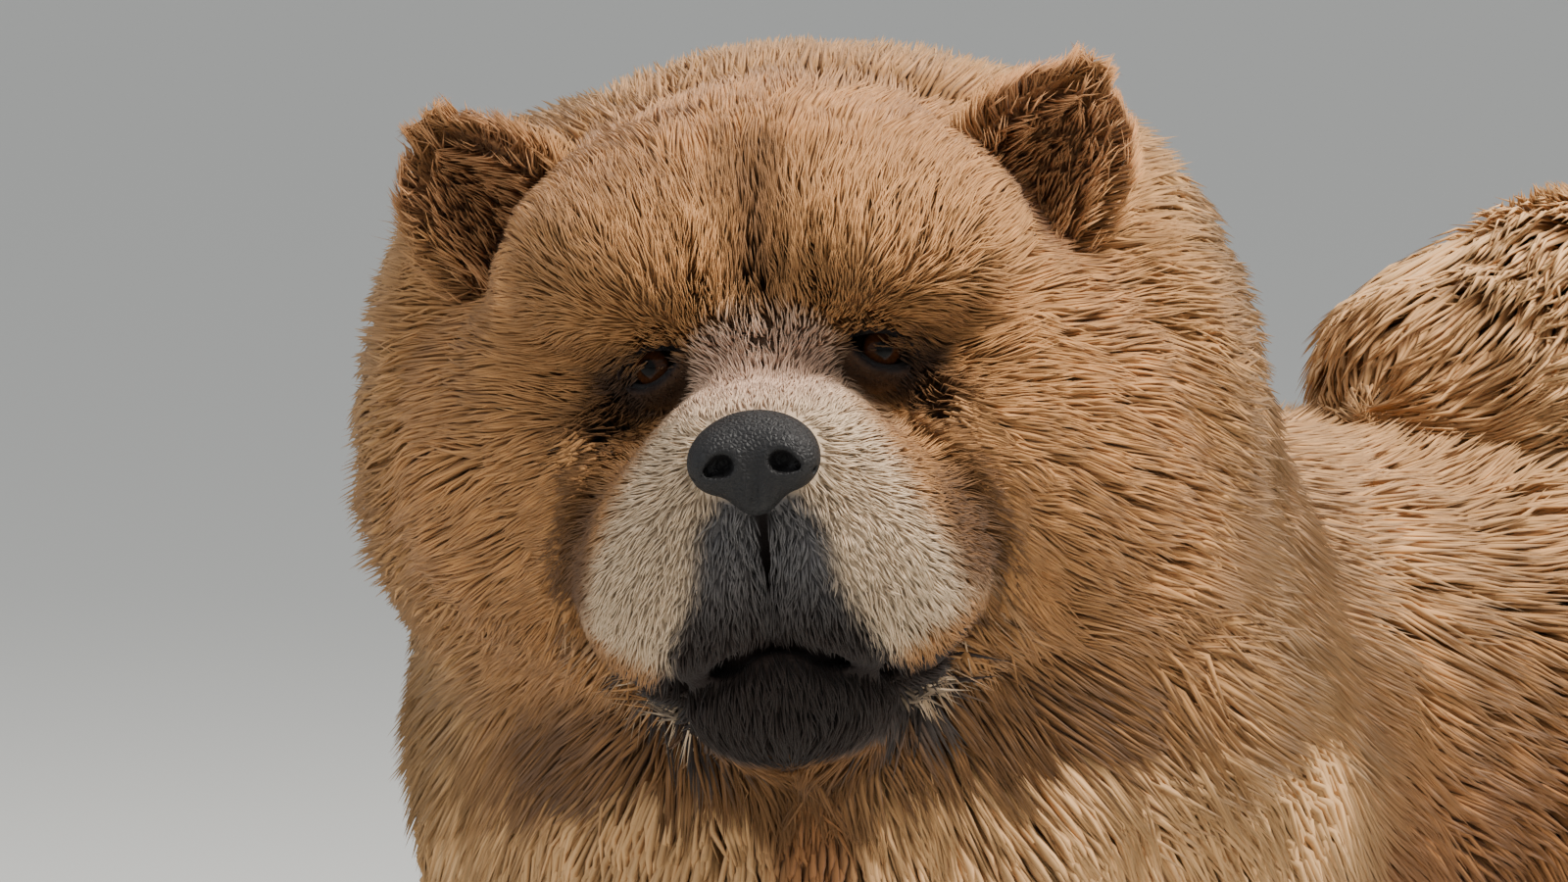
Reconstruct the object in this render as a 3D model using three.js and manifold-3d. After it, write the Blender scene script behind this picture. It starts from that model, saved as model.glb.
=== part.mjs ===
// A life-size male chow chow, standing square, with its head turned to its left.
// Millimetres, +Z up. The dog faces -Y and its left side is +X.
// Places are those of a dog whose shoulders stand 500 mm high, and the whole is scaled to WITHERS.

import * as THREE from "three";
import { mergeVertices } from "three/addons/utils/BufferGeometryUtils.js";
import Module from "manifold-3d";

const wasm = await Module();
wasm.setup();

// Driving dimensions
const WITHERS = 500;
const DRAWN_WITHERS = 500;
const HEAD_AT = [58, -302, 576];
const HEAD_TURN = 42;
const HEAD_NOD = -2;
const HEAD_TILT = -5;
const EYE_RADIUS = 10.5;
const GAP = 0.35;
const LOCK_GAP = 0.5;
const SEED = 11;
const SLIVER = 0.08;
const ORIGIN_SHIFT = [1, 41, 0];

// Vectors and frames
const vec = (at) => new THREE.Vector3(...at);
const rad = THREE.MathUtils.degToRad;
const mirrored = ([x, y, z]) => [-x, y, z];
const SIDES = { left: 1, right: -1 };
const onSide = (at, sign) => [at[0] * sign, at[1], at[2]];

const headTurn = new THREE.Euler(rad(HEAD_NOD), rad(HEAD_TILT), rad(HEAD_TURN), "ZYX");
const headPose = new THREE.Matrix4().compose(
  vec(HEAD_AT),
  new THREE.Quaternion().setFromEuler(headTurn),
  new THREE.Vector3(1, 1, 1),
);
const headInverse = headPose.clone().invert();
const fromHead = (at) => vec(at).applyMatrix4(headPose).toArray();

// Fields: the distance to a surface, negative inside it
function ball(at, radii) {
  const [x, y, z] = at;
  const [rx, ry, rz] = radii;
  return (p) => {
    const a = (p.x - x) / rx;
    const b = (p.y - y) / ry;
    const c = (p.z - z) / rz;
    const reach = Math.hypot(a, b, c);
    const slope = Math.hypot(a / rx, b / ry, c / rz);
    return slope < 1e-9 ? -Math.min(rx, ry, rz) : (reach * (reach - 1)) / slope;
  };
}

function limb(from, to, radiusFrom, radiusTo) {
  const a = vec(from);
  const along = vec(to).sub(a);
  const squared = along.lengthSq();
  const offset = new THREE.Vector3();
  return (p) => {
    offset.copy(p).sub(a);
    const t = THREE.MathUtils.clamp(offset.dot(along) / squared, 0, 1);
    return offset.addScaledVector(along, -t).length() - radiusFrom - (radiusTo - radiusFrom) * t;
  };
}

function softMin(a, b, soft) {
  const h = Math.max(soft - Math.abs(a - b), 0) / soft;
  return Math.min(a, b) - (h * h * soft) / 4;
}

const merged = (soft, ...fields) => (p) => fields.reduce((d, f) => softMin(d, f(p), soft), 1e6);
const carved = (soft, solid, cutter) => (p) => -softMin(-solid(p), cutter(p), soft);
const bothSides = (make) => [make(1), make(-1)];

// The torso, neck and legs without their coat
const torsoFlesh = merged(
  45,
  ball([0, -95, 376], [108, 158, 122]),
  ball([0, -180, 372], [84, 74, 88]),
  ball([0, -115, 452], [54, 92, 46]),
  ball([0, 55, 392], [96, 150, 98]),
  ball([0, 160, 390], [100, 98, 102]),
);

const neckFlesh = merged(
  40,
  limb([0, -165, 425], [26, -246, 530], 104, 96),
  limb([0, -215, 385], [44, -285, 512], 96, 84),
);

const FRONT_LEG = {
  shoulder: [74, -150, 372],
  elbow: [90, -112, 268],
  wrist: [90, -124, 104],
  pastern: [90, -134, 52],
};
const HIND_LEG = {
  hip: [66, 165, 372],
  knee: [90, 138, 262],
  hock: [88, 196, 142],
  pastern: [88, 192, 50],
};
const FRONT_LEG_AXIS = [[80, -140, 372], [90, -124, 268], [90, -126, 104], [90, -134, 52]];
const HIND_LEG_AXIS = [[70, 180, 372], [86, 176, 262], [88, 192, 142], [88, 192, 50]];

const frontLegFlesh = (sign) => {
  const { shoulder, elbow, wrist, pastern } = FRONT_LEG;
  const at = (place) => onSide(place, sign);
  return merged(
    24,
    limb(at(shoulder), at(elbow), 62, 45),
    limb(at(elbow), at(wrist), 42, 34),
    limb(at(wrist), at(pastern), 34, 33),
  );
};

const hindLegFlesh = (sign) => {
  const { hip, knee, hock, pastern } = HIND_LEG;
  const at = (place) => onSide(place, sign);
  return merged(
    26,
    limb(at(hip), at(knee), 82, 60),
    limb(at(knee), at(hock), 54, 37),
    limb(at(hock), at(pastern), 35, 32),
  );
};

// A paw: a pad, and four toes whose knuckles stand up
const PAW = { toes: [-27, -9.5, 9.5, 27], toeRadii: [11, 21, 17], spread: 0.12 };

function pawFlesh(heel, sign, length) {
  const [x, y, z] = onSide(heel, sign);
  const toes = PAW.toes.map((across, i) => {
    const forward = Math.abs(across) < 15 ? length : length - 12;
    return ball([x + across * (1 + PAW.spread * 0.2 * i), y - forward, z - 9], PAW.toeRadii);
  });
  return merged(
    7,
    merged(14, ball([x, y - 6, z], [33, 34, 30]), ball([x, y - 22, z - 6], [34, 30, 24])),
    ...toes,
  );
}

// The tail: set high, curled forward over the back
const TAIL_PATH = [
  [0, 206, 448],
  [0, 251, 478],
  [0, 264, 514],
  [2, 238, 540],
  [7, 190, 545],
  [12, 134, 536],
];
const TAIL_RADII = [36, 32, 28, 24, 18, 11];
const TAIL_STEM_AXIS = [[0, 212, 452], [0, 254, 494]];
const TAIL_PLUME_AXIS = [[0, 248, 529], [12, 138, 536]];
const tailFlesh = merged(
  20,
  ...TAIL_PATH.slice(1).map((at, i) => limb(TAIL_PATH[i], at, TAIL_RADII[i], TAIL_RADII[i + 1])),
);

// The head in its own frame: between the eyes, facing -Y
const EYE_AT = [40, -60, 0];
const headFlesh = carved(
  9,
  merged(
    16,
    ball([0, 10, 20], [86, 90, 60]),
    ...bothSides((s) => ball([s * 44, -54, 36], [38, 34, 28])),
    ...bothSides((s) => ball([s * 72, -8, -36], [40, 60, 52])),
    merged(
      12,
      ball([0, -86, -38], [40, 56, 30]),
      ...bothSides((s) => ball([s * 28, -102, -70], [33, 38, 38])),
      ...bothSides((s) => ball([s * 42, -74, -78], [26, 40, 36])),
    ),
  ),
  merged(4, limb([0, -94, 4], [0, -86, 44], 8, 11), limb([0, -86, 44], [0, -56, 72], 11, 7)),
);
const jawFlesh = merged(
  14,
  limb([0, -24, -100], [0, -90, -110], 36, 25),
  ball([0, -102, -112], [23, 22, 26]),
);
// The thick collar of mane behind the face, as part of the neck
const ruffFlesh = ball([0, 56, -25], [122, 54, 110]);
const noseFlesh = merged(
  6,
  ball([0, -138, -30], [22, 17, 15]),
  ...bothSides((s) => ball([s * 12, -146, -33], [11.5, 11, 11])),
  ball([0, -146, -43], [9, 9, 9]),
);

// The coat: a place on the skin, the way the hair lies there, and the coat's depth
const both = (at, lie, deep) => [
  { at, lie, deep },
  { at: mirrored(at), lie: mirrored(lie), deep },
];
const middle = (at, lie, deep) => [{ at, lie, deep }];
const bodyCoat = [
  ...middle([0, -100, 500], [0, 1, -0.1], 45),
  ...middle([0, 50, 492], [0, 1, 0], 40),
  ...middle([0, 180, 488], [0, 1, -0.2], 42),
  ...both([60, 258, 390], [0.2, 0.35, -1], 72),
  ...both([92, 232, 285], [0.1, 0.45, -1], 76),
  ...both([148, 165, 330], [0.15, 0.45, -1], 46),
  ...both([110, 76, 275], [0, 0.3, -1], 38),
  ...both([88, 240, 160], [0, 0.3, -1], 30),
  ...both([88, 170, 100], [0, 0, -1], 14),
  ...both([88, 228, 70], [0, 0.1, -1], 16),
  ...both([88, 150, 30], [0, -0.6, -0.6], 6),
  ...both([100, 50, 395], [0.05, 0.9, -0.5], 46),
  ...both([112, -60, 400], [0.1, 0.85, -0.6], 50),
  ...both([60, 20, 300], [0, 0.5, -1], 56),
  ...middle([0, 30, 285], [0, 0.6, -0.8], 50),
  ...middle([0, -110, 255], [0, 0.5, -1], 58),
  ...both([118, -165, 400], [0.25, 0.7, -0.8], 82),
  ...middle([0, -262, 385], [0, -0.35, -1], 94),
  ...both([84, -232, 385], [0.5, -0.1, -1], 125),
  ...middle([0, -235, 290], [0, 0.05, -1], 80),
  ...both([134, -112, 290], [0.1, 0.3, -1], 40),
  ...both([90, -62, 215], [0, 0.5, -1], 48),
  ...both([90, -158, 200], [0, 0, -1], 16),
  ...both([90, -158, 105], [0, 0, -1], 11),
  ...both([90, -92, 80], [0, 0.2, -1], 16),
  ...both([90, -182, 30], [0, -0.6, -0.6], 6),
  ...middle([22, -190, 545], [-0.1, 1, -0.2], 86),
  ...middle([26, -235, 618], [-0.3, 1, 0.1], 50),
  ...both([98, -215, 500], [0.5, 0.6, -0.65], 120),
  ...middle([74, -318, 462], [0.3, -0.3, -1], 50),
  ...middle([50, -300, 405], [0.3, -0.5, -1], 98),
];
const tailCoat = [
  ...middle([0, 294, 520], [0, 0.35, 0.9], 56),
  ...middle([0, 300, 472], [0, 0.6, 0.6], 50),
  ...middle([0, 226, 566], [0, -0.9, 0.45], 48),
  ...both([32, 214, 538], [0.85, -0.5, -0.1], 78),
  ...both([32, 152, 536], [0.85, -0.5, -0.35], 84),
  ...both([34, 260, 498], [0.85, 0.3, 0.3], 60),
  ...middle([8, 150, 564], [0.1, -1, 0.1], 46),
  ...middle([12, 112, 536], [0.1, -1, -0.25], 66),
  ...middle([2, 200, 506], [0, -0.9, 0], 6),
  ...middle([8, 150, 516], [0, -0.9, -0.2], 14),
];
const headCoat = [
  ...middle([0, -105, -8], [0, 1, 0.2], 3),
  ...both([48, -95, -58], [0.2, 0.9, -0.35], 5),
  ...both([22, -138, -66], [0.3, 0.3, -0.8], 4),
  ...both([60, -72, -98], [0.5, 0.7, -0.5], 8),
  ...both([40, -72, 2], [0.4, 0.5, -0.1], 4),
  ...middle([0, -120, -122], [0, 0.5, -1], 6),
  ...middle([0, -80, 20], [0, 0.5, 1], 6),
  ...both([48, -80, 40], [0.3, 0.35, 0.9], 11),
  ...middle([0, -10, 80], [0, 1, 0.25], 27),
  ...both([50, -20, 68], [0.4, 0.9, 0.15], 24),
  ...both([78, -34, 34], [0.6, 0.75, 0], 20),
  ...both([88, -36, 0], [0.6, 0.75, -0.1], 32),
  ...both([72, -58, -32], [0.75, 0.6, -0.35], 18),
  ...both([110, -4, -38], [0.7, 0.65, -0.35], 50),
  ...both([72, -12, -92], [0.7, 0.5, -0.6], 36),
  ...middle([0, -45, -128], [0, 0.3, -1], 24),
  ...middle([0, 70, 84], [0, 1, 0.4], 44),
  ...both([104, 50, 30], [0.8, 0.6, 0.15], 66),
  ...both([112, 50, -40], [0.9, 0.5, -0.4], 72),
];
const turnedLie = (lie) => vec(lie).applyEuler(headTurn).toArray();
const coatGuides = [
  ...bodyCoat,
  ...headCoat.map(({ at, lie, deep }) => ({ at: fromHead(at), lie: turnedLie(lie), deep })),
];

const NEAR = 300;
function coatOf(guides, p) {
  const lie = new THREE.Vector3();
  let deep = 0;
  let total = 0;
  for (const guide of guides) {
    const [x, y, z] = guide.at;
    const squared = (p.x - x) ** 2 + (p.y - y) ** 2 + (p.z - z) ** 2;
    const weight = 1 / (squared + NEAR) ** 2;
    deep += guide.deep * weight;
    lie.x += guide.lie[0] * weight;
    lie.y += guide.lie[1] * weight;
    lie.z += guide.lie[2] * weight;
    total += weight;
  }
  return { deep: deep / total, lie: lie.normalize() };
}

// The solid reaches the tips of short hair, and less than half way up long hair
const SHORT = 18;
const LONG = 40;
const CORE_SHARE = 0.48;
function coreDepth(deep) {
  const share = THREE.MathUtils.smoothstep(deep, SHORT, LONG);
  return deep * (1 - share * (1 - CORE_SHARE));
}
const coated = (flesh, guides) => (p) => flesh(p) - coreDepth(coatOf(guides, p).deep);

const inHeadFrame = new THREE.Vector3();
const headInBody = (field) => (p) => field(inHeadFrame.copy(p).applyMatrix4(headInverse));
const headCore = coated(headInBody(headFlesh), coatGuides);
const jawCore = coated(headInBody(jawFlesh), coatGuides);
const torsoCore = coated(torsoFlesh, coatGuides);
const neckCore = coated(merged(30, neckFlesh, headInBody(ruffFlesh)), coatGuides);
const tailCore = coated(tailFlesh, tailCoat);

// Where a ray from inside a field leaves it
const FIRST_STEP = 0.5;
const HALVINGS = 18;
function exitPoint(field, origin, direction) {
  const p = new THREE.Vector3();
  const value = (t) => field(p.copy(origin).addScaledVector(direction, t));
  let inside = 0;
  let outside = FIRST_STEP;
  for (let d = value(outside); d < 0; d = value(outside)) {
    inside = outside;
    outside += Math.max(-d * 0.7, FIRST_STEP);
  }
  for (let i = 0; i < HALVINGS; i += 1) {
    const half = (inside + outside) / 2;
    if (value(half) < 0) inside = half;
    else outside = half;
  }
  return origin.clone().addScaledVector(direction, (inside + outside) / 2);
}

// A closed skin round a path: rings of ray ends square to it, and leaning rings and a pole at each end
const END_LEANS = [18, 36, 54, 72];
function skinRound(field, path, { rings, sides, startLeans = END_LEANS, endLeans = END_LEANS }) {
  const curve = new THREE.CatmullRomCurve3(path.map(vec));
  const points = [];
  const ringAt = (t, lean) => {
    const origin = curve.getPoint(t);
    const forward = curve.getTangent(t);
    const side = new THREE.Vector3(1, 0, 0).projectOnPlane(forward).normalize();
    const up = new THREE.Vector3().crossVectors(forward, side);
    for (let k = 0; k < sides; k += 1) {
      const turn = (2 * Math.PI * k) / sides;
      const direction = side.clone().multiplyScalar(Math.cos(turn)).addScaledVector(up, Math.sin(turn));
      direction.multiplyScalar(Math.cos(rad(lean))).addScaledVector(forward, Math.sin(rad(lean)));
      points.push(exitPoint(field, origin, direction));
    }
  };
  const pole = (t, sense) =>
    points.push(exitPoint(field, curve.getPoint(t), curve.getTangent(t).multiplyScalar(sense)));
  pole(0, -1);
  [...startLeans].reverse().forEach((lean) => ringAt(0, -lean));
  for (let i = 0; i < rings; i += 1) ringAt(i / (rings - 1), 0);
  endLeans.forEach((lean) => ringAt(1, lean));
  pole(1, 1);
  return solidFromRings(points, sides);
}

// Triangles between a pole, rings of equal size, and a pole
function solidFromRings(points, sides, flipped = false) {
  const last = points.length - 1;
  const ringCount = (points.length - 2) / sides;
  const at = (ring, k) => 1 + ring * sides + (k % sides);
  const triangles = [];
  for (let k = 0; k < sides; k += 1) {
    triangles.push(0, at(0, k + 1), at(0, k));
    triangles.push(last, at(ringCount - 1, k), at(ringCount - 1, k + 1));
    for (let ring = 0; ring + 1 < ringCount; ring += 1) {
      const [a, b, c, d] = [at(ring, k), at(ring, k + 1), at(ring + 1, k + 1), at(ring + 1, k)];
      triangles.push(a, b, c, a, c, d);
    }
  }
  if (flipped) triangles.reverse();
  return solidFrom(points.flatMap((p) => p.toArray()), triangles);
}

const facingOut = (solid, points, sides) =>
  solid.volume() > 0 ? solid : solidFromRings(points, sides, true);

function solidFrom(numbers, triangles) {
  return new wasm.Manifold(
    new wasm.Mesh({
      numProp: 3,
      vertProperties: new Float32Array(numbers),
      triVerts: new Uint32Array(triangles),
    }),
  );
}

function solidFromGeometry(geometry, matrix = new THREE.Matrix4()) {
  const bare = new THREE.BufferGeometry();
  const loose = geometry.index ? geometry.toNonIndexed() : geometry;
  bare.setAttribute("position", loose.getAttribute("position").clone());
  const joined = mergeVertices(bare.applyMatrix4(matrix), 1e-3);
  return solidFrom(joined.attributes.position.array, joined.index.array);
}

const grown = (field, by) => (p) => field(p) - by;
const biggest = (solid) => solid.decompose().sort((a, b) => b.volume() - a.volume())[0];

function geometryOf(solid) {
  const { vertProperties, numProp, triVerts } = solid.getMesh();
  const positions = [];
  for (let i = 0; i < vertProperties.length; i += numProp) {
    positions.push(...vertProperties.subarray(i, i + 3));
  }
  const geometry = new THREE.BufferGeometry();
  geometry.setAttribute("position", new THREE.Float32BufferAttribute(positions, 3));
  geometry.setIndex([...triVerts]);
  geometry.computeVertexNormals();
  return geometry;
}

// Each part's skin, as it is or grown by the gap that its neighbours keep
const FACE_LEANS = [8, 16, 24, 32, 40, 47, 54, 61, 68, 75, 82];
const LEG_LEANS = [30, 60];
const HIDDEN_LEANS = [40];
const skins = {
  head: (by) =>
    skinRound(grown(headCore, by), [[0, -24, -14], [0, 20, -1]].map(fromHead), {
      rings: 2,
      sides: 36,
      startLeans: FACE_LEANS,
      endLeans: LEG_LEANS,
    }),
  lower_jaw: (by) =>
    skinRound(grown(jawCore, by), [[0, -106, -108], [0, -24, -98]].map(fromHead), {
      rings: 4,
      sides: 18,
      startLeans: [20, 40, 64],
      endLeans: HIDDEN_LEANS,
    }),
  torso: (by) =>
    skinRound(grown(torsoCore, by), [[0, -170, 378], [0, 165, 392]], {
      rings: 9,
      sides: 24,
      startLeans: LEG_LEANS,
    }),
  neck: (by) =>
    skinRound(grown(neckCore, by), [[10, -200, 440], [34, -262, 535]], {
      rings: 5,
      sides: 24,
      startLeans: LEG_LEANS,
      endLeans: HIDDEN_LEANS,
    }),
  tail: (by) => {
    const length = (axis, rings) =>
      skinRound(grown(tailCore, by), axis, {
        rings,
        sides: 14,
        startLeans: LEG_LEANS,
        endLeans: LEG_LEANS,
      });
    return length(TAIL_STEM_AXIS, 3).add(length(TAIL_PLUME_AXIS, 5));
  },
};
const PAW_LENGTH = 34;
const HEELS = { front: [90, -136, 27], hind: [88, 190, 27] };
for (const [side, sign] of Object.entries(SIDES)) {
  const legSkin = (flesh, axis) => (by) =>
    skinRound(grown(coated(flesh(sign), coatGuides), by), axis.map((at) => onSide(at, sign)), {
      rings: 9,
      sides: 14,
      startLeans: LEG_LEANS,
      endLeans: HIDDEN_LEANS,
    });
  const pawSkin = (heel) => (by) => {
    const [x, y, z] = onSide(heel, sign);
    const field = grown(coated(pawFlesh(heel, sign, PAW_LENGTH), coatGuides), by);
    return skinRound(field, [[x, y - 22, z - 6], [x, y, z]], {
      rings: 2,
      sides: 22,
      startLeans: [18, 38, 62],
      endLeans: HIDDEN_LEANS,
    });
  };
  skins["front_leg_" + side] = legSkin(frontLegFlesh, FRONT_LEG_AXIS);
  skins["hind_leg_" + side] = legSkin(hindLegFlesh, HIND_LEG_AXIS);
  skins["front_paw_" + side] = pawSkin(HEELS.front);
  skins["hind_paw_" + side] = pawSkin(HEELS.hind);
}

// The ear: crescent rings up from a root inside the head to a round tip
const EAR = { root: [88, -14, 36], tall: 76, wide: 35, cup: 22, wall: 11, rings: 8, sides: 16 };
function earSolid(sign) {
  const up = new THREE.Vector3(0.52, -0.12, 0.84).normalize();
  const front = new THREE.Vector3(0.3, -1, 0.05).projectOnPlane(up).normalize();
  const across = new THREE.Vector3().crossVectors(up, front);
  const place = (rise, aside, back) => {
    const p = vec(EAR.root)
      .addScaledVector(up, rise * EAR.tall)
      .addScaledVector(across, aside)
      .addScaledVector(front, -back);
    return vec(fromHead(onSide(p.toArray(), sign)));
  };
  const points = [place(-0.1, 0, 6)];
  for (let ring = 0; ring < EAR.rings; ring += 1) {
    const rise = (ring + 0.4) / EAR.rings;
    const halfWide = EAR.wide * Math.sqrt(1 - rise ** 2.6) * (0.82 + 0.18 * Math.sin(Math.PI * rise));
    const cup = EAR.cup * (1 - 0.55 * rise);
    for (let k = 0; k < EAR.sides; k += 1) {
      const turn = (2 * Math.PI * k) / EAR.sides;
      const bow = 1 - Math.cos(turn) ** 2;
      const back = cup * bow + (EAR.wall * Math.sin(turn)) / 2 - (Math.sin(turn) < 0 ? 3 * bow : -2 * bow);
      points.push(place(rise, halfWide * Math.cos(turn), back));
    }
  }
  points.push(place(1, 0, EAR.cup * 0.45));
  return facingOut(solidFromRings(points, EAR.sides), points, EAR.sides);
}

// A claw: a short curved spike from each toe
const CLAW = { long: 15, thick: 3.4, drop: 6, sides: 6, rings: 4 };
function clawSolid(root) {
  const points = [root.clone().add(new THREE.Vector3(0, 7, 1))];
  for (let ring = 0; ring < CLAW.rings; ring += 1) {
    const t = ring / CLAW.rings;
    const thick = CLAW.thick * (1 - t * 0.75);
    for (let k = 0; k < CLAW.sides; k += 1) {
      const turn = (2 * Math.PI * k) / CLAW.sides;
      const across = Math.cos(turn) * thick * 0.75;
      const rise = Math.sin(turn) * thick - CLAW.drop * t * t;
      points.push(root.clone().add(new THREE.Vector3(across, 5 - t * CLAW.long, rise)));
    }
  }
  points.push(root.clone().add(new THREE.Vector3(0, 4 - CLAW.long, -CLAW.drop * 1.05)));
  return facingOut(solidFromRings(points, CLAW.sides), points, CLAW.sides);
}

// Where the lids open: an almond that tips down to the outside
const LID = { wide: 12.5, high: 5.2, tip: -22, outward: 20, depth: 40 };
const eyeMatrix = (sign) => {
  const turn = new THREE.Euler(0, rad(LID.tip) * -sign, rad(LID.outward) * sign, "ZYX");
  const local = new THREE.Matrix4().compose(
    vec(onSide(EYE_AT, sign)),
    new THREE.Quaternion().setFromEuler(turn),
    new THREE.Vector3(1, 1, 1),
  );
  return headPose.clone().multiply(local);
};
const standUp = new THREE.Matrix4().makeRotationX(Math.PI / 2);
function lidOpening(sign) {
  const almond = new THREE.Shape();
  almond.moveTo(-LID.wide, 0);
  almond.quadraticCurveTo(0, LID.high * 2, LID.wide, 0);
  almond.quadraticCurveTo(0, -LID.high * 2, -LID.wide, 0);
  const geometry = new THREE.ExtrudeGeometry(almond, {
    depth: LID.depth,
    bevelEnabled: false,
    curveSegments: 6,
  });
  return solidFromGeometry(geometry, eyeMatrix(sign).multiply(standUp));
}
const sphereAt = (radius, matrix, detail = 2) =>
  solidFromGeometry(new THREE.IcosahedronGeometry(radius, detail), matrix);

const LID_WALL = 3;
const LID_BALL = EYE_RADIUS + LID_WALL;

// Even random numbers from a seed
function randomFrom(seed) {
  let state = seed;
  return () => {
    state = (state + 0x6d2b79f5) | 0;
    let t = Math.imul(state ^ (state >>> 15), 1 | state);
    t = (t + Math.imul(t ^ (t >>> 7), 61 | t)) ^ t;
    return ((t ^ (t >>> 14)) >>> 0) / 2 ** 32;
  };
}

// Random points spread over a solid's surface: those that are allowed, none near another
const TRIES = 3000;
function spreadPoints(solid, spacing, random, allowed) {
  const { vertProperties, numProp, triVerts } = solid.getMesh();
  const corner = (i) => new THREE.Vector3().fromArray(vertProperties, triVerts[i] * numProp);
  const faces = [];
  let area = 0;
  for (let i = 0; i < triVerts.length; i += 3) {
    const face = new THREE.Triangle(corner(i), corner(i + 1), corner(i + 2));
    area += face.getArea();
    faces.push({ face, upTo: area });
  }
  const kept = [];
  for (let i = 0; i < TRIES; i += 1) {
    const pick = random() * area;
    const { face } = faces.find(({ upTo }) => upTo >= pick);
    const [u, v] = [random(), random()];
    const [s, t] = u + v > 1 ? [1 - u, 1 - v] : [u, v];
    const p = face.a.clone().multiplyScalar(1 - s - t);
    p.addScaledVector(face.b, s).addScaledVector(face.c, t);
    if (kept.every((other) => other.distanceTo(p) > spacing) && allowed(p)) kept.push(p);
  }
}

function slopeOf(field, p) {
  const e = 0.5;
  const at = (x, y, z) => field(new THREE.Vector3(p.x + x, p.y + y, p.z + z));
  return new THREE.Vector3(
    at(e, 0, 0) - at(-e, 0, 0),
    at(0, e, 0) - at(0, -e, 0),
    at(0, 0, e) - at(0, 0, -e),
  ).normalize();
}

// A lock of long hair: flat, tapered, bent along the coat's lie, with its root sunk in the solid below
const LOCK = {
  spacing: 84,
  wide: 0.95,
  long: 1.75,
  thick: 15,
  sunk: 13,
  leastCoat: 42,
  leastWide: 52,
  nearCore: 4,
};
const LOCK_STATIONS = [
  { s: 0, wide: 0.62, thick: 0.6, lift: -1 },
  { s: 0.28, wide: 1, thick: 1, lift: 0.3 },
  { s: 0.56, wide: 0.88, thick: 0.8, lift: 0.72 },
  { s: 0.8, wide: 0.55, thick: 0.5, lift: 0.92 },
];
function lockPath(guides, root, random) {
  const { deep } = coatOf(guides, root);
  const above = deep - coreDepth(deep);
  const long = deep * LOCK.long * (0.88 + 0.24 * random());
  const wide = Math.max(deep * LOCK.wide, LOCK.leastWide) * (0.88 + 0.24 * random());
  const veer = (random() - 0.5) * 0.5;
  const curl = (random() - 0.5) * 0.5;
  const ground = root.clone();
  const sections = [];
  let before = 0;
  const step = (s) => {
    const up = slopeOf(wholeCore, ground);
    const lie = coatOf(guides, ground).lie.projectOnPlane(up).normalize();
    const heading = lie.applyAxisAngle(up, veer + curl * s);
    ground.addScaledVector(heading, long * (s - before));
    before = s;
    ground.addScaledVector(slopeOf(wholeCore, ground), -wholeCore(ground));
    return { up: slopeOf(wholeCore, ground), heading };
  };
  for (const station of LOCK_STATIONS) {
    const { up, heading } = step(station.s);
    const lift = station.lift < 0 ? -LOCK.sunk : above * station.lift;
    sections.push({
      centre: ground.clone().addScaledVector(up, lift),
      up,
      across: new THREE.Vector3().crossVectors(up, heading).normalize(),
      half: (wide / 2) * station.wide,
      thick: LOCK.thick * station.thick,
    });
  }
  const { up } = step(1);
  return { sections, tip: ground.clone().addScaledVector(up, above) };
}

function lockSolid({ sections, tip }, by) {
  const [root, next] = sections;
  const back = root.centre.clone().sub(next.centre).setLength(by * 1.5);
  const points = [root.centre.clone().add(back).addScaledVector(root.up, -by)];
  for (const { centre, up, across, half, thick } of sections) {
    const from = centre === root.centre ? centre.clone().add(back) : centre;
    const side = (sense) =>
      from.clone().addScaledVector(across, sense * (half + by * 2)).addScaledVector(up, -half * 0.22 - by);
    points.push(side(-1), from.clone().addScaledVector(up, thick + by), side(1));
  }
  const onward = tip.clone().sub(sections.at(-1).centre).normalize();
  points.push(tip.clone().addScaledVector(onward, by * 3));
  return facingOut(solidFromRings(points, 3), points, 3);
}

// Whether a lock bends so gently that its grown form holds all of it
const LEAST_STEADY = 0.6;
function isSteady(lock) {
  const spine = [...lock.sections.map(({ centre }) => centre), lock.tip];
  const along = spine.slice(1).map((p, i) => p.clone().sub(spine[i]).normalize());
  const alike = (list) => list.slice(1).every((v, i) => v.dot(list[i]) > LEAST_STEADY);
  const outside = lockSolid(lock, 0).subtract(lockSolid(lock, LOCK_GAP));
  return alike(along) && alike(lock.sections.map(({ across }) => across)) && outside.isEmpty();
}

const legCores = Object.values(SIDES).flatMap((sign) =>
  [frontLegFlesh, hindLegFlesh].map((flesh) => coated(flesh(sign), coatGuides)),
);
const wholeCore = (p) =>
  Math.min(...[headCore, jawCore, torsoCore, neckCore, tailCore, ...legCores].map((f) => f(p)));

const random = randomFrom(SEED);
const locks = {};
function locksOn(visible, guides) {
  const kept = [];
  const grows = (root) => {
    if (Math.abs(wholeCore(root)) > LOCK.nearCore) return false;
    if (coatOf(guides, root).deep < LOCK.leastCoat) return false;
    const lock = lockPath(guides, root, random);
    if (isSteady(lock)) kept.push(lock);
    return isSteady(lock);
  };
  spreadPoints(visible, LOCK.spacing, random, grows);
  return kept;
}
const withLocks = (name, solid, by) =>
  wasm.Manifold.union([solid, ...(locks[name] ?? []).map((lock) => lockSolid(lock, by))]);

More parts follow.
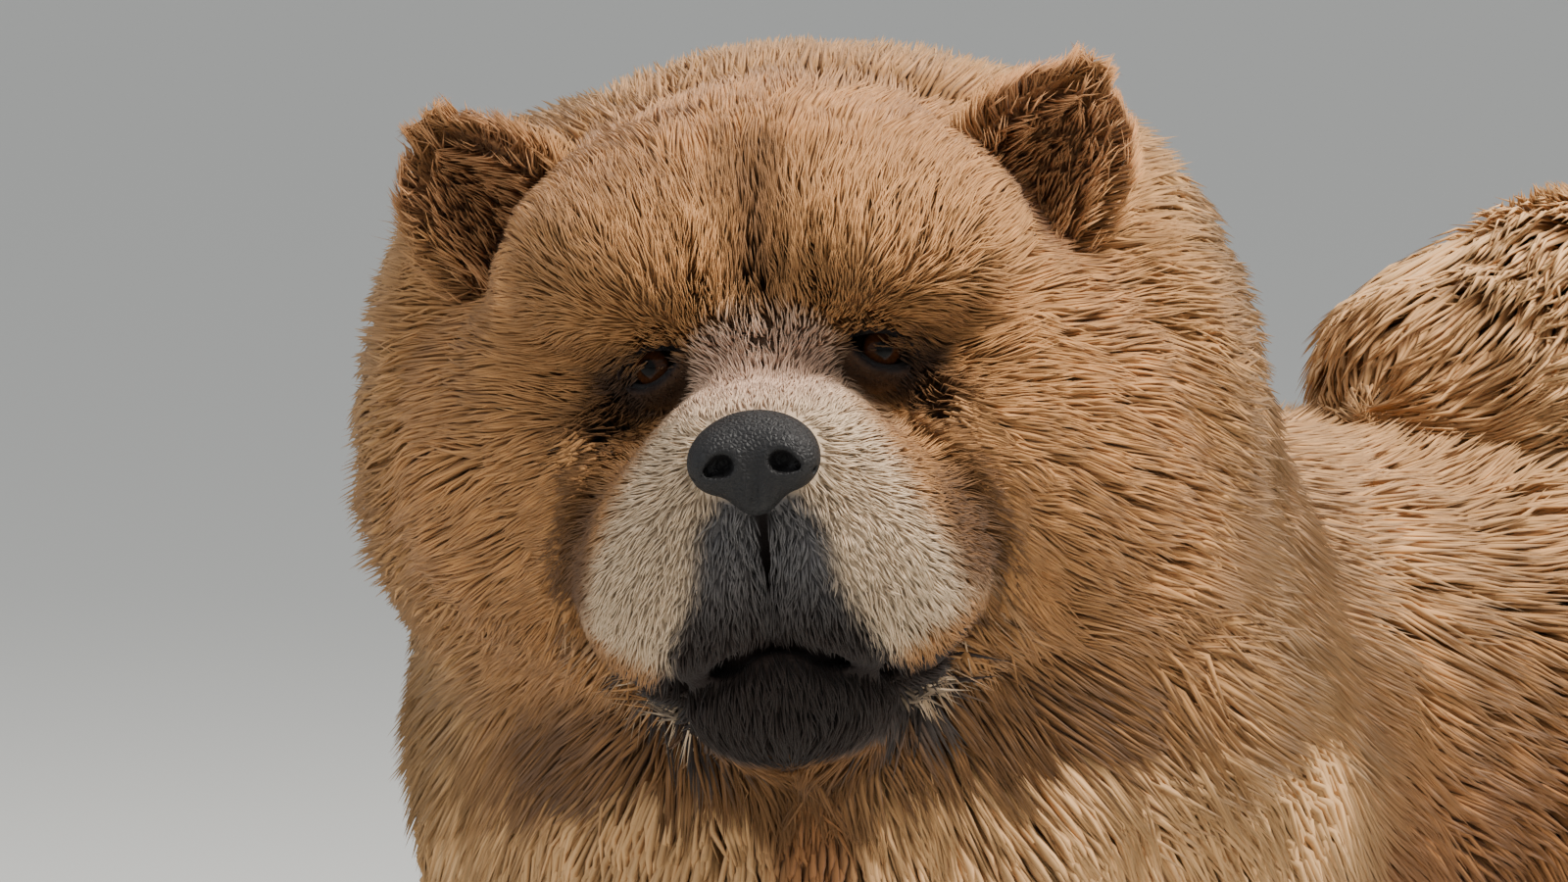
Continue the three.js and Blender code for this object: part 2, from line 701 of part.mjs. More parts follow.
const plain = Object.fromEntries(Object.entries(skins).map(([name, make]) => [name, make(0)]));
const wide = Object.fromEntries(Object.entries(skins).map(([name, make]) => [name, make(GAP)]));
const less = (solid, ...cutters) =>
  biggest(cutters.reduce((s, c) => s.subtract(c), solid)).simplify(SLIVER);
const locked = {
  head: coatGuides,
  lower_jaw: coatGuides,
  neck: coatGuides,
  torso: coatGuides,
  tail: tailCoat,
  front_leg_left: coatGuides,
  front_leg_right: coatGuides,
  hind_leg_left: coatGuides,
  hind_leg_right: coatGuides,
};
for (const [name, guides] of Object.entries(locked)) {
  const others = Object.keys(locked).filter((other) => other !== name);
  locks[name] = locksOn(less(plain[name], ...others.map((other) => plain[other])), guides);
}
for (const name of Object.keys(locked)) {
  plain[name] = biggest(withLocks(name, plain[name], 0));
  wide[name] = withLocks(name, wide[name], LOCK_GAP);
}
const noseSkin = skinRound(headInBody(noseFlesh), [[0, -144, -34], [0, -130, -32]].map(fromHead), {
  rings: 2,
  sides: 20,
  startLeans: [22, 44, 66],
  endLeans: [45],
});

function headSolid() {
  let head = plain.head;
  for (const sign of [1, -1]) head = head.add(sphereAt(LID_BALL, eyeMatrix(sign)));
  const sockets = [1, -1].flatMap((sign) => [
    sphereAt(EYE_RADIUS + GAP, eyeMatrix(sign)),
    lidOpening(sign),
  ]);
  return less(head, wide.lower_jaw, ...sockets);
}

function noseSolid() {
  const nostrils = [1, -1].map((sign) => {
    const matrix = headPose
      .clone()
      .multiply(new THREE.Matrix4().makeTranslation(sign * 10, -156, -33))
      .multiply(new THREE.Matrix4().makeRotationY(sign * 0.7))
      .multiply(new THREE.Matrix4().makeScale(1.25, 2.2, 0.8));
    return sphereAt(4.2, matrix, 1);
  });
  return less(noseSkin, wide.head, ...nostrils);
}

// A large box beyond the floor, and one beyond the middle from each side's legs
const BOX = 2000;
const boxAt = (x, z) =>
  solidFromGeometry(
    new THREE.BoxGeometry(BOX, BOX, BOX),
    new THREE.Matrix4().makeTranslation(x, 0, z),
  );
const floorBox = boxAt(0, -BOX / 2);
const farSide = (sign) => boxAt(sign * (GAP - BOX) * 0.5, 0);

// Every part gives way to the grown skins of those before it
const cutBy = (name, ...others) => less(plain[name], ...others.map((other) => wide[other]));
const parts = {
  head: headSolid(),
  lower_jaw: plain.lower_jaw,
  nose: noseSolid(),
  neck: cutBy("neck", "head", "lower_jaw"),
  torso: cutBy("torso", "head", "lower_jaw", "neck"),
  tail: cutBy("tail", "torso", "neck"),
};
for (const [side, sign] of Object.entries(SIDES)) {
  parts["ear_" + side] = less(earSolid(sign), wide.head, wide.neck);
  parts["eye_" + side] = sphereAt(EYE_RADIUS, eyeMatrix(sign));
  const frontLeg = "front_leg_" + side;
  for (const [end, heel] of Object.entries(HEELS)) {
    const paw = end + "_paw_" + side;
    const leg = end + "_leg_" + side;
    const earlier = ["head", "lower_jaw", "neck", "torso", "tail", paw];
    if (leg !== frontLeg) earlier.push(frontLeg);
    parts[leg] = less(cutBy(leg, ...earlier), floorBox, farSide(sign));
    parts[paw] = less(plain[paw], floorBox);
    PAW.toes.forEach((across, i) => {
      const [x, y, z] = onSide(heel, sign);
      const forward = Math.abs(across) < 15 ? PAW_LENGTH : PAW_LENGTH - 12;
      const toe = new THREE.Vector3(x + across, y - forward - 22, z - 14);
      parts["claw_" + end + "_" + side + "_" + (i + 1)] = less(clawSolid(toe), wide[paw]);
    });
  }
}

const FUR = new THREE.MeshStandardMaterial({ color: 0xa8703f, roughness: 0.9, metalness: 0 });
const dog = new THREE.Group();
for (const [name, solid] of Object.entries(parts)) {
  const mesh = new THREE.Mesh(geometryOf(solid), FUR);
  mesh.name = name;
  dog.add(mesh);
}
dog.position.set(...ORIGIN_SHIFT);
dog.scale.setScalar(WITHERS / DRAWN_WITHERS);

export default dog;
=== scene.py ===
"""A chow chow standing square with its head turned to its left: skin, coat, eyes, nose and claws."""

import math

import bpy
import numpy as np
from mathutils import Matrix, Vector, kdtree


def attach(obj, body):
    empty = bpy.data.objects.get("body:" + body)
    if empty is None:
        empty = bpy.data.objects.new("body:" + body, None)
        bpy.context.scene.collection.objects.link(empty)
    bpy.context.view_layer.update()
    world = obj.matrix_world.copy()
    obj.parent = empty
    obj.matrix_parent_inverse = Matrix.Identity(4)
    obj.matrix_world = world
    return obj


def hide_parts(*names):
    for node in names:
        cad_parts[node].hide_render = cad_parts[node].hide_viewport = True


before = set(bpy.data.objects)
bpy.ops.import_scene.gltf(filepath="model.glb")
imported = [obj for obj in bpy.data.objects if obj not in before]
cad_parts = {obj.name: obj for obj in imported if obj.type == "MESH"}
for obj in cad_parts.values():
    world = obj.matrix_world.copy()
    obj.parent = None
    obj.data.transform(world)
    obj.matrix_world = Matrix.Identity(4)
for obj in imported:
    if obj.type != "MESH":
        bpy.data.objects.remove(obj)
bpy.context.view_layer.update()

# Places are in millimetres from the dog's middle line, as in the solids.
# METRE and SHIFT take them to the scene.
METRE = 0.001
SHIFT = np.array([1.0, 41.0, 0.0])
HEAD_AT = np.array([58.0, -302.0, 576.0])
HEAD_TURN, HEAD_NOD, HEAD_TILT = 42, -2, -5
EYE_RADIUS = 10.5
SIDES = {"left": 1, "right": -1}
SEED = 5
rng = np.random.default_rng(SEED)

# The camera: where the photograph has the nose, and how large it shows it
IMAGE_WIDE, IMAGE_HIGH = 1600, 900
VIEW_AZIMUTH, VIEW_ELEVATION = 47, 5.5
CAMERA_AWAY = 2200
PIXELS_PER_MM = 2.9
NOSE_IN_HEAD = np.array([0.0, -150.0, -34.0])
NOSE_PIXEL = (768, 475)
SENSOR = 36


def rotation(axis, degrees):
    return np.array(Matrix.Rotation(math.radians(degrees), 3, axis))


head_turn = rotation("Z", HEAD_TURN) @ rotation("Y", HEAD_TILT) @ rotation("X", HEAD_NOD)


def from_head(points):
    return np.asarray(points, float) @ head_turn.T + HEAD_AT


def in_head(points):
    return (points - HEAD_AT) @ head_turn


def to_scene(points):
    return (points + SHIFT) * METRE


def on_side(place, sign):
    return [place[0] * sign, place[1], place[2]]


def above(value, low, high):
    """From 0 where a value is at the low bound to 1 at the high one, easing in and out"""
    t = np.clip((value - low) / (high - low), 0, 1)
    return t * t * (3 - 2 * t)


def below(value, low, high):
    return 1 - above(value, low, high)


def unit(vectors):
    return vectors / np.maximum(np.linalg.norm(vectors, axis=-1, keepdims=True), 1e-9)


# Fields: the distance to a surface for many points at once, negative inside it
def ball(at, radii):
    at, radii = np.array(at, float), np.array(radii, float)

    def field(p):
        scaled = (p - at) / radii
        reach = np.linalg.norm(scaled, axis=-1)
        slope = np.linalg.norm(scaled / radii, axis=-1)
        return np.where(slope < 1e-9, -radii.min(), reach * (reach - 1) / np.maximum(slope, 1e-9))

    return field


def limb(start, end, radius_start, radius_end):
    start, along = np.array(start, float), np.array(end, float) - np.array(start, float)

    def field(p):
        offset = p - start
        t = np.clip(offset @ along / (along @ along), 0, 1)
        reach = np.linalg.norm(offset - t[..., None] * along, axis=-1)
        return reach - radius_start - (radius_end - radius_start) * t

    return field


def soft_min(a, b, soft):
    h = np.maximum(soft - np.abs(a - b), 0) / soft
    return np.minimum(a, b) - h * h * soft / 4


def merged(soft, *fields):
    def field(p):
        distance = fields[0](p)
        for other in fields[1:]:
            distance = soft_min(distance, other(p), soft)
        return distance

    return field


def both_sides(make):
    return [make(sign) for sign in SIDES.values()]


# The torso, neck, legs and tail without their coat
torso_flesh = merged(
    45,
    ball([0, -95, 376], [108, 158, 122]),
    ball([0, -180, 372], [84, 74, 88]),
    ball([0, -115, 452], [54, 92, 46]),
    ball([0, 55, 392], [96, 150, 98]),
    ball([0, 160, 390], [100, 98, 102]),
)
neck_flesh = merged(
    40,
    limb([0, -165, 425], [26, -246, 530], 104, 96),
    limb([0, -215, 385], [44, -285, 512], 96, 84),
)
FRONT_LEG = [[74, -150, 372], [90, -112, 268], [90, -124, 104], [90, -134, 52]]
FRONT_RADII = [(62, 45), (42, 34), (34, 33)]
HIND_LEG = [[66, 165, 372], [90, 138, 262], [88, 196, 142], [88, 192, 50]]
HIND_RADII = [(82, 60), (54, 37), (35, 32)]
LEG_SOFT = 25


def leg_flesh(joints, radii, sign):
    at = [on_side(place, sign) for place in joints]
    return merged(LEG_SOFT, *(limb(at[i], at[i + 1], *radii[i]) for i in range(3)))


TOES = [-27, -9.5, 9.5, 27]
TOE_RADII = [11, 21, 17]
INNER_TOE, OUTER_TOE = 34, 22
HEELS = {"front": [90, -136, 27], "hind": [88, 190, 27]}


def toe_reach(across):
    """How far in front of the heel a toe's middle is"""
    return INNER_TOE if abs(across) < TOES[-1] else OUTER_TOE


def paw_flesh(heel, sign):
    x, y, z = on_side(heel, sign)
    pads = merged(14, ball([x, y - 6, z], [33, 34, 30]), ball([x, y - 22, z - 6], [34, 30, 24]))
    toes = []
    for across in TOES:
        toes.append(ball([x + across, y - toe_reach(across), z - 9], TOE_RADII))
    return merged(4, pads, *toes)


TAIL_PATH = [[0, 206, 448], [0, 251, 478], [0, 264, 514], [2, 238, 540], [7, 190, 545], [12, 134, 536]]
TAIL_RADII = [36, 32, 28, 24, 18, 11]
tail_flesh = merged(
    20,
    *(
        limb(TAIL_PATH[i], TAIL_PATH[i + 1], TAIL_RADII[i], TAIL_RADII[i + 1])
        for i in range(len(TAIL_PATH) - 1)
    ),
)

# The head in its own frame: between the eyes, facing -Y
EYE_AT = [40, -60, 0]
skull_flesh = merged(
    16,
    ball([0, 10, 20], [86, 90, 60]),
    *both_sides(lambda s: ball([s * 44, -54, 36], [38, 34, 28])),
    *both_sides(lambda s: ball([s * 72, -8, -36], [40, 60, 52])),
    merged(
        12,
        ball([0, -86, -38], [40, 56, 30]),
        *both_sides(lambda s: ball([s * 28, -102, -70], [33, 38, 38])),
        *both_sides(lambda s: ball([s * 42, -74, -78], [26, 40, 36])),
    ),
)
jaw_flesh = merged(
    14,
    limb([0, -24, -100], [0, -90, -110], 36, 25),
    ball([0, -90, -110], [32, 22, 20]),
)
ruff_flesh = ball([0, 56, -25], [122, 54, 110])
nose_flesh = merged(
    6,
    ball([0, -138, -30], [22, 17, 15]),
    *both_sides(lambda s: ball([s * 12, -146, -33], [11.5, 11, 11])),
    ball([0, -146, -43], [9, 9, 9]),
)


# The coat: a place on the skin, the way the hair lies there, and the coat's depth
def both(at, lie, deep):
    return [(at, lie, deep), (on_side(at, -1), on_side(lie, -1), deep)]


def middle(at, lie, deep):
    return [(at, lie, deep)]


BODY_COAT = [
    *middle([0, -100, 500], [0, 1, -0.1], 45),
    *middle([0, 50, 492], [0, 1, 0], 40),
    *middle([0, 180, 488], [0, 1, -0.2], 42),
    *both([60, 258, 390], [0.2, 0.35, -1], 72),
    *both([92, 232, 285], [0.1, 0.45, -1], 76),
    *both([148, 165, 330], [0.15, 0.45, -1], 46),
    *both([110, 76, 275], [0, 0.3, -1], 38),
    *both([88, 240, 160], [0, 0.3, -1], 30),
    *both([88, 170, 100], [0, 0, -1], 14),
    *both([88, 228, 70], [0, 0.1, -1], 16),
    *both([88, 150, 30], [0, -0.6, -0.6], 6),
    *both([100, 50, 395], [0.05, 0.9, -0.5], 46),
    *both([112, -60, 400], [0.1, 0.85, -0.6], 50),
    *both([60, 20, 300], [0, 0.5, -1], 56),
    *middle([0, 30, 285], [0, 0.6, -0.8], 50),
    *middle([0, -110, 255], [0, 0.5, -1], 58),
    *both([118, -165, 400], [0.25, 0.7, -0.8], 82),
    *middle([0, -262, 385], [0, -0.35, -1], 94),
    *both([84, -232, 385], [0.5, -0.1, -1], 125),
    *middle([0, -235, 290], [0, 0.05, -1], 80),
    *both([134, -112, 290], [0.1, 0.3, -1], 40),
    *both([90, -62, 215], [0, 0.5, -1], 48),
    *both([90, -158, 200], [0, 0, -1], 16),
    *both([90, -158, 105], [0, 0, -1], 11),
    *both([90, -92, 80], [0, 0.2, -1], 16),
    *both([90, -182, 30], [0, -0.6, -0.6], 6),
    *middle([22, -190, 545], [-0.1, 1, -0.2], 86),
    *middle([26, -235, 618], [-0.3, 1, 0.1], 50),
    *both([98, -215, 500], [0.5, 0.6, -0.65], 120),
    *middle([74, -318, 462], [0.3, -0.3, -1], 50),
    *middle([50, -300, 405], [0.3, -0.5, -1], 98),
]
TAIL_COAT = [
    *middle([0, 294, 520], [0, 0.35, 0.9], 56),
    *middle([0, 300, 472], [0, 0.6, 0.6], 50),
    *middle([0, 226, 566], [0, -0.9, 0.45], 48),
    *both([32, 214, 538], [0.85, -0.5, -0.1], 78),
    *both([32, 152, 536], [0.85, -0.5, -0.35], 84),
    *both([34, 260, 498], [0.85, 0.3, 0.3], 60),
    *middle([8, 150, 564], [0.1, -1, 0.1], 46),
    *middle([12, 112, 536], [0.1, -1, -0.25], 66),
    *middle([2, 200, 506], [0, -0.9, 0], 6),
    *middle([8, 150, 516], [0, -0.9, -0.2], 14),
]
HEAD_COAT = [
    *middle([0, -105, -8], [0, 1, 0.2], 3),
    *both([48, -95, -58], [0.2, 0.9, -0.35], 5),
    *both([22, -138, -66], [0.3, 0.3, -0.8], 4),
    *both([60, -72, -98], [0.5, 0.7, -0.5], 8),
    *both([40, -72, 10], [0.15, 0.2, 1], 3),
    *both([46, -70, -9], [0.5, 0.5, -0.7], 3),
    *both([60, -62, -6], [0.5, 0.7, -0.4], 4),
    *middle([0, -114, -112], [0, 0.2, -1], 6),
    *middle([0, -100, -138], [0, -0.4, -1], 14),
    *middle([0, -80, 20], [0, 0.5, 1], 6),
    *both([48, -80, 40], [0.3, 0.35, 0.9], 11),
    *middle([0, -10, 80], [0, 1, 0.25], 27),
    *both([50, -20, 68], [0.4, 0.9, 0.15], 24),
    *both([78, -34, 34], [0.6, 0.75, 0], 20),
    *both([88, -36, 0], [0.6, 0.75, -0.1], 32),
    *both([72, -58, -32], [0.75, 0.6, -0.35], 18),
    *both([110, -4, -38], [0.7, 0.65, -0.35], 50),
    *both([72, -12, -92], [0.7, 0.5, -0.6], 36),
    *middle([0, -45, -128], [0, 0.3, -1], 24),
    *middle([0, 70, 84], [0, 1, 0.4], 36),
    *both([104, 50, 30], [0.8, 0.6, 0.15], 66),
    *both([112, 50, -40], [0.9, 0.5, -0.4], 72),
]
NEAR = 300
CHUNK = 200000


class Coat:
    """The hair's lie and depth anywhere, from the guides nearby"""

    def __init__(self, guides):
        self.places = np.array([g[0] for g in guides], float)
        self.values = np.array([[*g[1], g[2]] for g in guides], float)

    def at(self, points):
        found = np.empty((len(points), 4))
        for first in range(0, len(points), CHUNK):
            p = points[first : first + CHUNK]
            squared = (
                (p * p).sum(1)[:, None]
                - 2 * p @ self.places.T
                + (self.places * self.places).sum(1)[None]
            )
            weight = 1 / (squared + NEAR) ** 2
            found[first : first + CHUNK] = weight @ self.values / weight.sum(1, keepdims=True)
        return unit(found[:, :3]), found[:, 3]


def head_guide(at, lie, deep):
    return from_head(at), head_turn @ np.array(lie, float), deep


coat = Coat(BODY_COAT + [head_guide(*guide) for guide in HEAD_COAT])
tail_coat = Coat(TAIL_COAT)

# The skin that the hair grows from lies this share of the coat's depth above the flesh
SHORT_HAIR, LONG_HAIR = 18, 40
SHORT_SHARE, LONG_SHARE = 0.5, 0.4


def skin_depth(deep):
    share = above(deep, SHORT_HAIR, LONG_HAIR)
    return deep * (SHORT_SHARE + (LONG_SHARE - SHORT_SHARE) * share)


# Folds of the face, each a line over it as seen from in front: across, up, and half the fold's width
MIDDLE_FOLDS = {
    "furrow": [[0, -4, 5], [0, 12, 8], [0, 36, 11], [0, 56, 9], [0, 74, 5]],
    "lip_split": [[0, -52, 2], [0, -78, 3], [0, -96, 4]],
}
SIDE_FOLDS = {
    "frown": [[13, 6, 2], [21, 22, 4], [25, 42, 4]],
    "brow_edge": [[20, 8, 2], [38, 11, 4], [60, 4, 4]],
    "cheek": [[51, -5, 3], [61, -24, 6], [66, -50, 7], [71, -76, 7], [78, -98, 6]],
    "mouth": [[0, -98, 3], [18, -104, 4], [40, -112, 5], [62, -109, 5], [72, -98, 4]],
}
FOLD_SOFT, FOLD_BAND, FOLD_BACK = 6, 30, 10
FRONT_REACH = np.linspace(-190, 60, 501)


def front_of(field, across, up):
    """How far forward a field reaches at a place seen from in front"""
    line = np.array([[across, forward, up] for forward in FRONT_REACH], float)
    return FRONT_REACH[np.argmax(field(line) < 0)]


def fold_lines():
    lines = list(MIDDLE_FOLDS.values())
    for line in SIDE_FOLDS.values():
        lines += [line, [[-x, z, half] for x, z, half in line]]
    return lines


def whole_face(p):
    return soft_min(skull_flesh(p), jaw_flesh(p), 4)


folds = []
for fold_line in fold_lines():
    dented = [([x, front_of(whole_face, x, z), z], half) for x, z, half in fold_line]
    for (start, half), (end, end_half) in zip(dented, dented[1:]):
        folds.append(limb(start, end, half, end_half))


def folded(field):
    """A field with the face's folds pressed into it"""

    def with_folds(p):
        distance = field(p)
        near = (np.abs(distance) < FOLD_BAND) & (p[:, 1] < FOLD_BACK)
        pressed, close = distance[near], p[near]
        for fold in folds:
            pressed = -soft_min(-pressed, fold(close), FOLD_SOFT)
        distance[near] = pressed
        return distance

    return with_folds


def eye_frame(sign):
    """The place of an eye in the head, and its own directions: across, out of the head, and up"""
    turn = rotation("Z", LID_OUTWARD * sign) @ rotation("Y", -LID_TIP * sign)
    return np.array(on_side(EYE_AT, sign), float), turn


LID_TIP, LID_OUTWARD = -22, 20
LID_WIDE, LID_HIGH, LID_WALL = 14, 6.8, 3


def lid_opening(sign):
    """An almond through the lids, that tips down to the outside"""
    at, turn = eye_frame(sign)

    def field(p):
        local = (p - at) @ turn
        x, y, z = local[..., 0], local[..., 1], local[..., 2]
        bow = LID_HIGH * (1 - np.clip(np.abs(x) / LID_WIDE, 0, 1.4) ** 2)
        return np.maximum(np.abs(z) - bow, y)

    return field


lid_openings = both_sides(lid_opening)
eye_sockets = both_sides(lambda s: ball(on_side(EYE_AT, s), [EYE_RADIUS + 0.4] * 3))
lid_balls = both_sides(lambda s: ball(on_side(EYE_AT, s), [EYE_RADIUS + LID_WALL] * 3))

# The ears: a cupped leaf that stands up and outwards from the head
EAR_ROOT = np.array([88.0, -14.0, 36.0])
EAR_UP = unit(np.array([0.52, -0.12, 0.84]))
EAR_FRONT = np.array([0.3, -1.0, 0.05])
EAR_FRONT = unit(EAR_FRONT - EAR_UP * (EAR_FRONT @ EAR_UP))
EAR_ACROSS = np.cross(EAR_UP, EAR_FRONT)
EAR_TALL, EAR_WIDE, EAR_CUP, EAR_WALL = 66, 28, 20, 6
EAR_FLATTER = 0.55


def ear_place(rise, aside, back):
    return EAR_ROOT + EAR_UP * rise * EAR_TALL + EAR_ACROSS * aside * EAR_WIDE - EAR_FRONT * back


def ear_parts(local, sign):
    """Where places lie on an ear: up it as a share of its height, across it, and back"""
    ear = local * np.array([sign, 1, 1]) - EAR_ROOT
    return ear @ EAR_UP / EAR_TALL, ear @ EAR_ACROSS, -(ear @ EAR_FRONT)


def ear_field(sign):
    def field(p):
        rise, aside, back = ear_parts(p, sign)
        held = np.clip(rise, 0, 1)
        half = EAR_WIDE * np.sqrt(1 - held**2.6) * (0.82 + 0.18 * np.sin(np.pi * held))
        bow = 1 - np.clip(aside / np.maximum(half, 1), -1, 1) ** 2
        sheet = np.abs(back - EAR_CUP * (1 - EAR_FLATTER * held) * bow) - EAR_WALL / 2
        edge = np.abs(aside) - half
        ends = np.maximum(rise - 1, -0.1 - rise) * EAR_TALL
        return np.maximum(np.maximum(sheet * 0.6, edge * 0.8), ends)

    return field


ears = both_sides(ear_field)
# The ear's guides: up and across in shares of the ear, back, how far the hair spreads aside, and its depth
EAR_COAT = [
    (0.1, 0.0, EAR_CUP + 3, 0.0, 9),
    (0.55, 0.0, EAR_CUP, 0.0, 8),
    (0.5, 0.0, 4, 0.0, 4),
    (0.15, 0.0, 8, 0.0, 6),
    (0.95, 0.0, EAR_CUP / 2, 0.0, 12),
    *(
        (rise, side, 2, side * 1.1, deep)
        for side in (1, -1)
        for rise, deep in ((0.1, 16), (0.5, 14), (0.85, 12))
    ),
]


def ear_guides(sign):
    guides = []
    for rise, aside, back, spread_out, deep in EAR_COAT:
        at = on_side(ear_place(rise, aside, back), sign)
        lie = on_side(EAR_UP + EAR_ACROSS * spread_out, sign)
        guides.append(head_guide(at, lie, deep))
    return guides


# The whole of each skin, in the dog's own frame
def whole_head(p):
    return whole_face(in_head(p))


def whole_flesh(p):
    return np.minimum(body_flesh(p), whole_head(p))


body_fields = [torso_flesh, neck_flesh]
for leg_sign in SIDES.values():
    body_fields.append(leg_flesh(FRONT_LEG, FRONT_RADII, leg_sign))
    body_fields.append(leg_flesh(HIND_LEG, HIND_RADII, leg_sign))
paw_fields = [paw_flesh(heel, sign) for heel in HEELS.values() for sign in SIDES.values()]
LIMB_SOFT, PAW_SOFT = 22, 8


def body_flesh(p):
    distance = merged(LIMB_SOFT, *body_fields, lambda q: ruff_flesh(in_head(q)))(p)
    return soft_min(distance, np.minimum.reduce([f(p) for f in paw_fields]), PAW_SOFT)


BAND = 60
SOLE = 0.4


def coated(flesh, coat_here, place=lambda p: p):
    """The skin's field, with the coat's depth worked out only near it"""

    def field(p):
        distance = flesh(p)
        near = np.abs(distance - BAND / 2) < BAND
        distance[near] -= skin_depth(coat_here.at(place(p[near]))[1])
        distance[~near] -= BAND / 2 * (distance[~near] > 0)
        return distance

    return field


bare_body = coated(body_flesh, coat)
tail_skin_field = coated(tail_flesh, tail_coat)
LID_SOFT = 5
bare_head = folded(
    coated(
        lambda p: soft_min(whole_face(p), np.minimum(*(lid(p) for lid in lid_balls)), LID_SOFT),
        coat,
        from_head,
    )
)


def body_skin_field(p):
    return np.maximum(bare_body(p), SOLE - p[:, 2])


def head_skin_field(local):
    cuts = [*(opening(local) for opening in lid_openings), *(socket(local) for socket in eye_sockets)]
    return np.maximum(bare_head(local), -np.minimum.reduce(cuts))


def surface_of(field, low, high, step):
    """A closed net of quads round a field, one point in each cell that the surface crosses"""
    low, high = np.array(low, float), np.array(high, float)
    counts = np.ceil((high - low) / step).astype(int) + 1
    axes = [low[i] + step * np.arange(counts[i]) for i in range(3)]
    values = np.empty(counts)
    for i, x in enumerate(axes[0]):
        y, z = np.meshgrid(axes[1], axes[2], indexing="ij")
        points = np.stack([np.full(y.size, x), y.ravel(), z.ravel()], 1)
        values[i] = field(points).reshape(y.shape)
    inside = values < 0
    corners = [(i, j, k) for i in (0, 1) for j in (0, 1) for k in (0, 1)]
    cell = tuple(counts - 1)

    def corner(grid, at):
        return grid[tuple(slice(a, a + n) for a, n in zip(at, cell))]

    total = sum(corner(inside, at).astype(np.int8) for at in corners)
    active = (total > 0) & (total < 8)
    where = np.argwhere(active)
    index = np.full(cell, -1)
    index[active] = np.arange(len(where))
    # Each point is the mean of where its cell's edges cross the surface
    place = np.zeros((len(where), 3))
    hits = np.zeros(len(where))
    for a in corners:
        for axis in range(3):
            if a[axis]:
                continue
            b = tuple(1 if i == axis else a[i] for i in range(3))
            at_a = values[tuple((where + a).T)]
            at_b = values[tuple((where + b).T)]
            crossed = (at_a < 0) != (at_b < 0)
            t = np.where(crossed, at_a / np.where(crossed, at_a - at_b, 1), 0)
            point = np.array(a, float) + np.outer(t, np.array(b, float) - a)
            place += point * crossed[:, None]
            hits += crossed
    points = low + step * (where + place / hits[:, None])
    # A quad joins the four cells round each edge of the grid that crosses the surface
    quads = []
    for axis in range(3):
        others = [i for i in range(3) if i != axis]
        first = [slice(1, cell[i]) if i != axis else slice(0, cell[i]) for i in range(3)]
        after = [s if i != axis else slice(1, cell[i] + 1) for i, s in enumerate(first)]
        start, end = inside[tuple(first)], inside[tuple(after)]
        edges = np.argwhere(start != end)
        outward = start[tuple(edges.T)]
        edges = edges + [0 if i == axis else 1 for i in range(3)]
        ring = []
        for da, db in ((1, 1), (0, 1), (0, 0), (1, 0)):
            at = edges.copy()
            at[:, others[0]] -= da
            at[:, others[1]] -= db
            ring.append(index[tuple(at.T)])
        ring = np.stack(ring, 1)
        turn = outward if axis != 1 else ~outward
        ring[~turn] = ring[~turn][:, ::-1]
        quads.append(ring)
    quads = np.concatenate(quads)
    quads = quads[(quads >= 0).all(1)]
    return points, quads


SETTLE_STEPS = (30, 15)
SLOPE_REACH = 0.6
TETRA = np.array([[1, 1, 1], [1, -1, -1], [-1, 1, -1], [-1, -1, 1]], float)


def slope_of(field, p):
    """The way out of a field, from its values at four corners round each point"""
    slope = np.zeros_like(p)
    for corner in TETRA:
        slope += corner * field(p + corner * SLOPE_REACH)[:, None]
    return unit(slope)


def settle(field, p, depth):
    """Moves points along the slope to a set height over a field"""
    for most in SETTLE_STEPS:
        p = p + slope_of(field, p) * np.clip(depth - field(p), -most, most)[:, None]
    return p


def rounded(points, quads, rounds):
    """Evens the net out by moving each point half way to its neighbours' mean"""
    for _ in range(rounds):
        total = np.zeros_like(points)
        count = np.zeros(len(points))
        for a, b in ((0, 1), (1, 2), (2, 3), (3, 0)):
            for i, j in ((a, b), (b, a)):
                np.add.at(total, quads[:, i], points[quads[:, j]])
                np.add.at(count, quads[:, i], 1)
        points = points + 0.5 * (total / np.maximum(count, 1)[:, None] - points)
    return points


# Markings, and painted light and shade
def colour(red, green, blue):
    """A linear colour from one as seen on a screen, 0 to 255"""
    seen = np.array([red, green, blue]) / 255
    return np.where(seen <= 0.04045, seen / 12.92, ((seen + 0.055) / 1.055) ** 2.4)


RED_COAT = colour(186, 136, 86)
DEEP_RED = colour(140, 92, 54)
# Painted shade: a brown for the shade in the face's folds and below the cheeks
PAINTED_SHADE_BROWN = colour(104, 72, 44)
PALE_COAT = colour(220, 176, 124)
MANE_TAN = colour(180, 146, 100)
MUZZLE = colour(224, 198, 166)
BRIDGE = colour(226, 186, 160)
# Painted light: a red lightened for sun in the ears' cups
EAR_CUP_PAINTED_LIGHT = colour(182, 132, 90)
# Painted shade for the deep hollow round each eye
EYE_HOLLOW_PAINTED_SHADE = colour(62, 48, 40)
BLACK_SKIN = colour(30, 27, 28)
LIP_GREY = colour(110, 108, 108)
# The black chin, and painted shadow under the flews
BLACK_CHIN_AND_PAINTED_SHADOW = colour(42, 37, 35)


def blend(base, other, mask):
    return base + (other - base) * mask[:, None]


def line_distance(local, line):
    """How far places on the face are from a line over it, as seen from in front"""
    seen = local[:, [0, 2]]
    found = np.full(len(local), 1e3)
    for (x0, z0, _), (x1, z1, _) in zip(line, line[1:]):
        start, along = np.array([x0, z0], float), np.array([x1 - x0, z1 - z0], float)
        t = np.clip((seen - start) @ along / (along @ along), 0, 1)
        found = np.minimum(found, np.linalg.norm(seen - start - t[:, None] * along, axis=1))
    return found


def folded_sides(local):
    """The same places with the face's right half laid over its left"""
    return np.abs(local[:, [0]]) * [1, 0, 0] + local * [0, 1, 1]


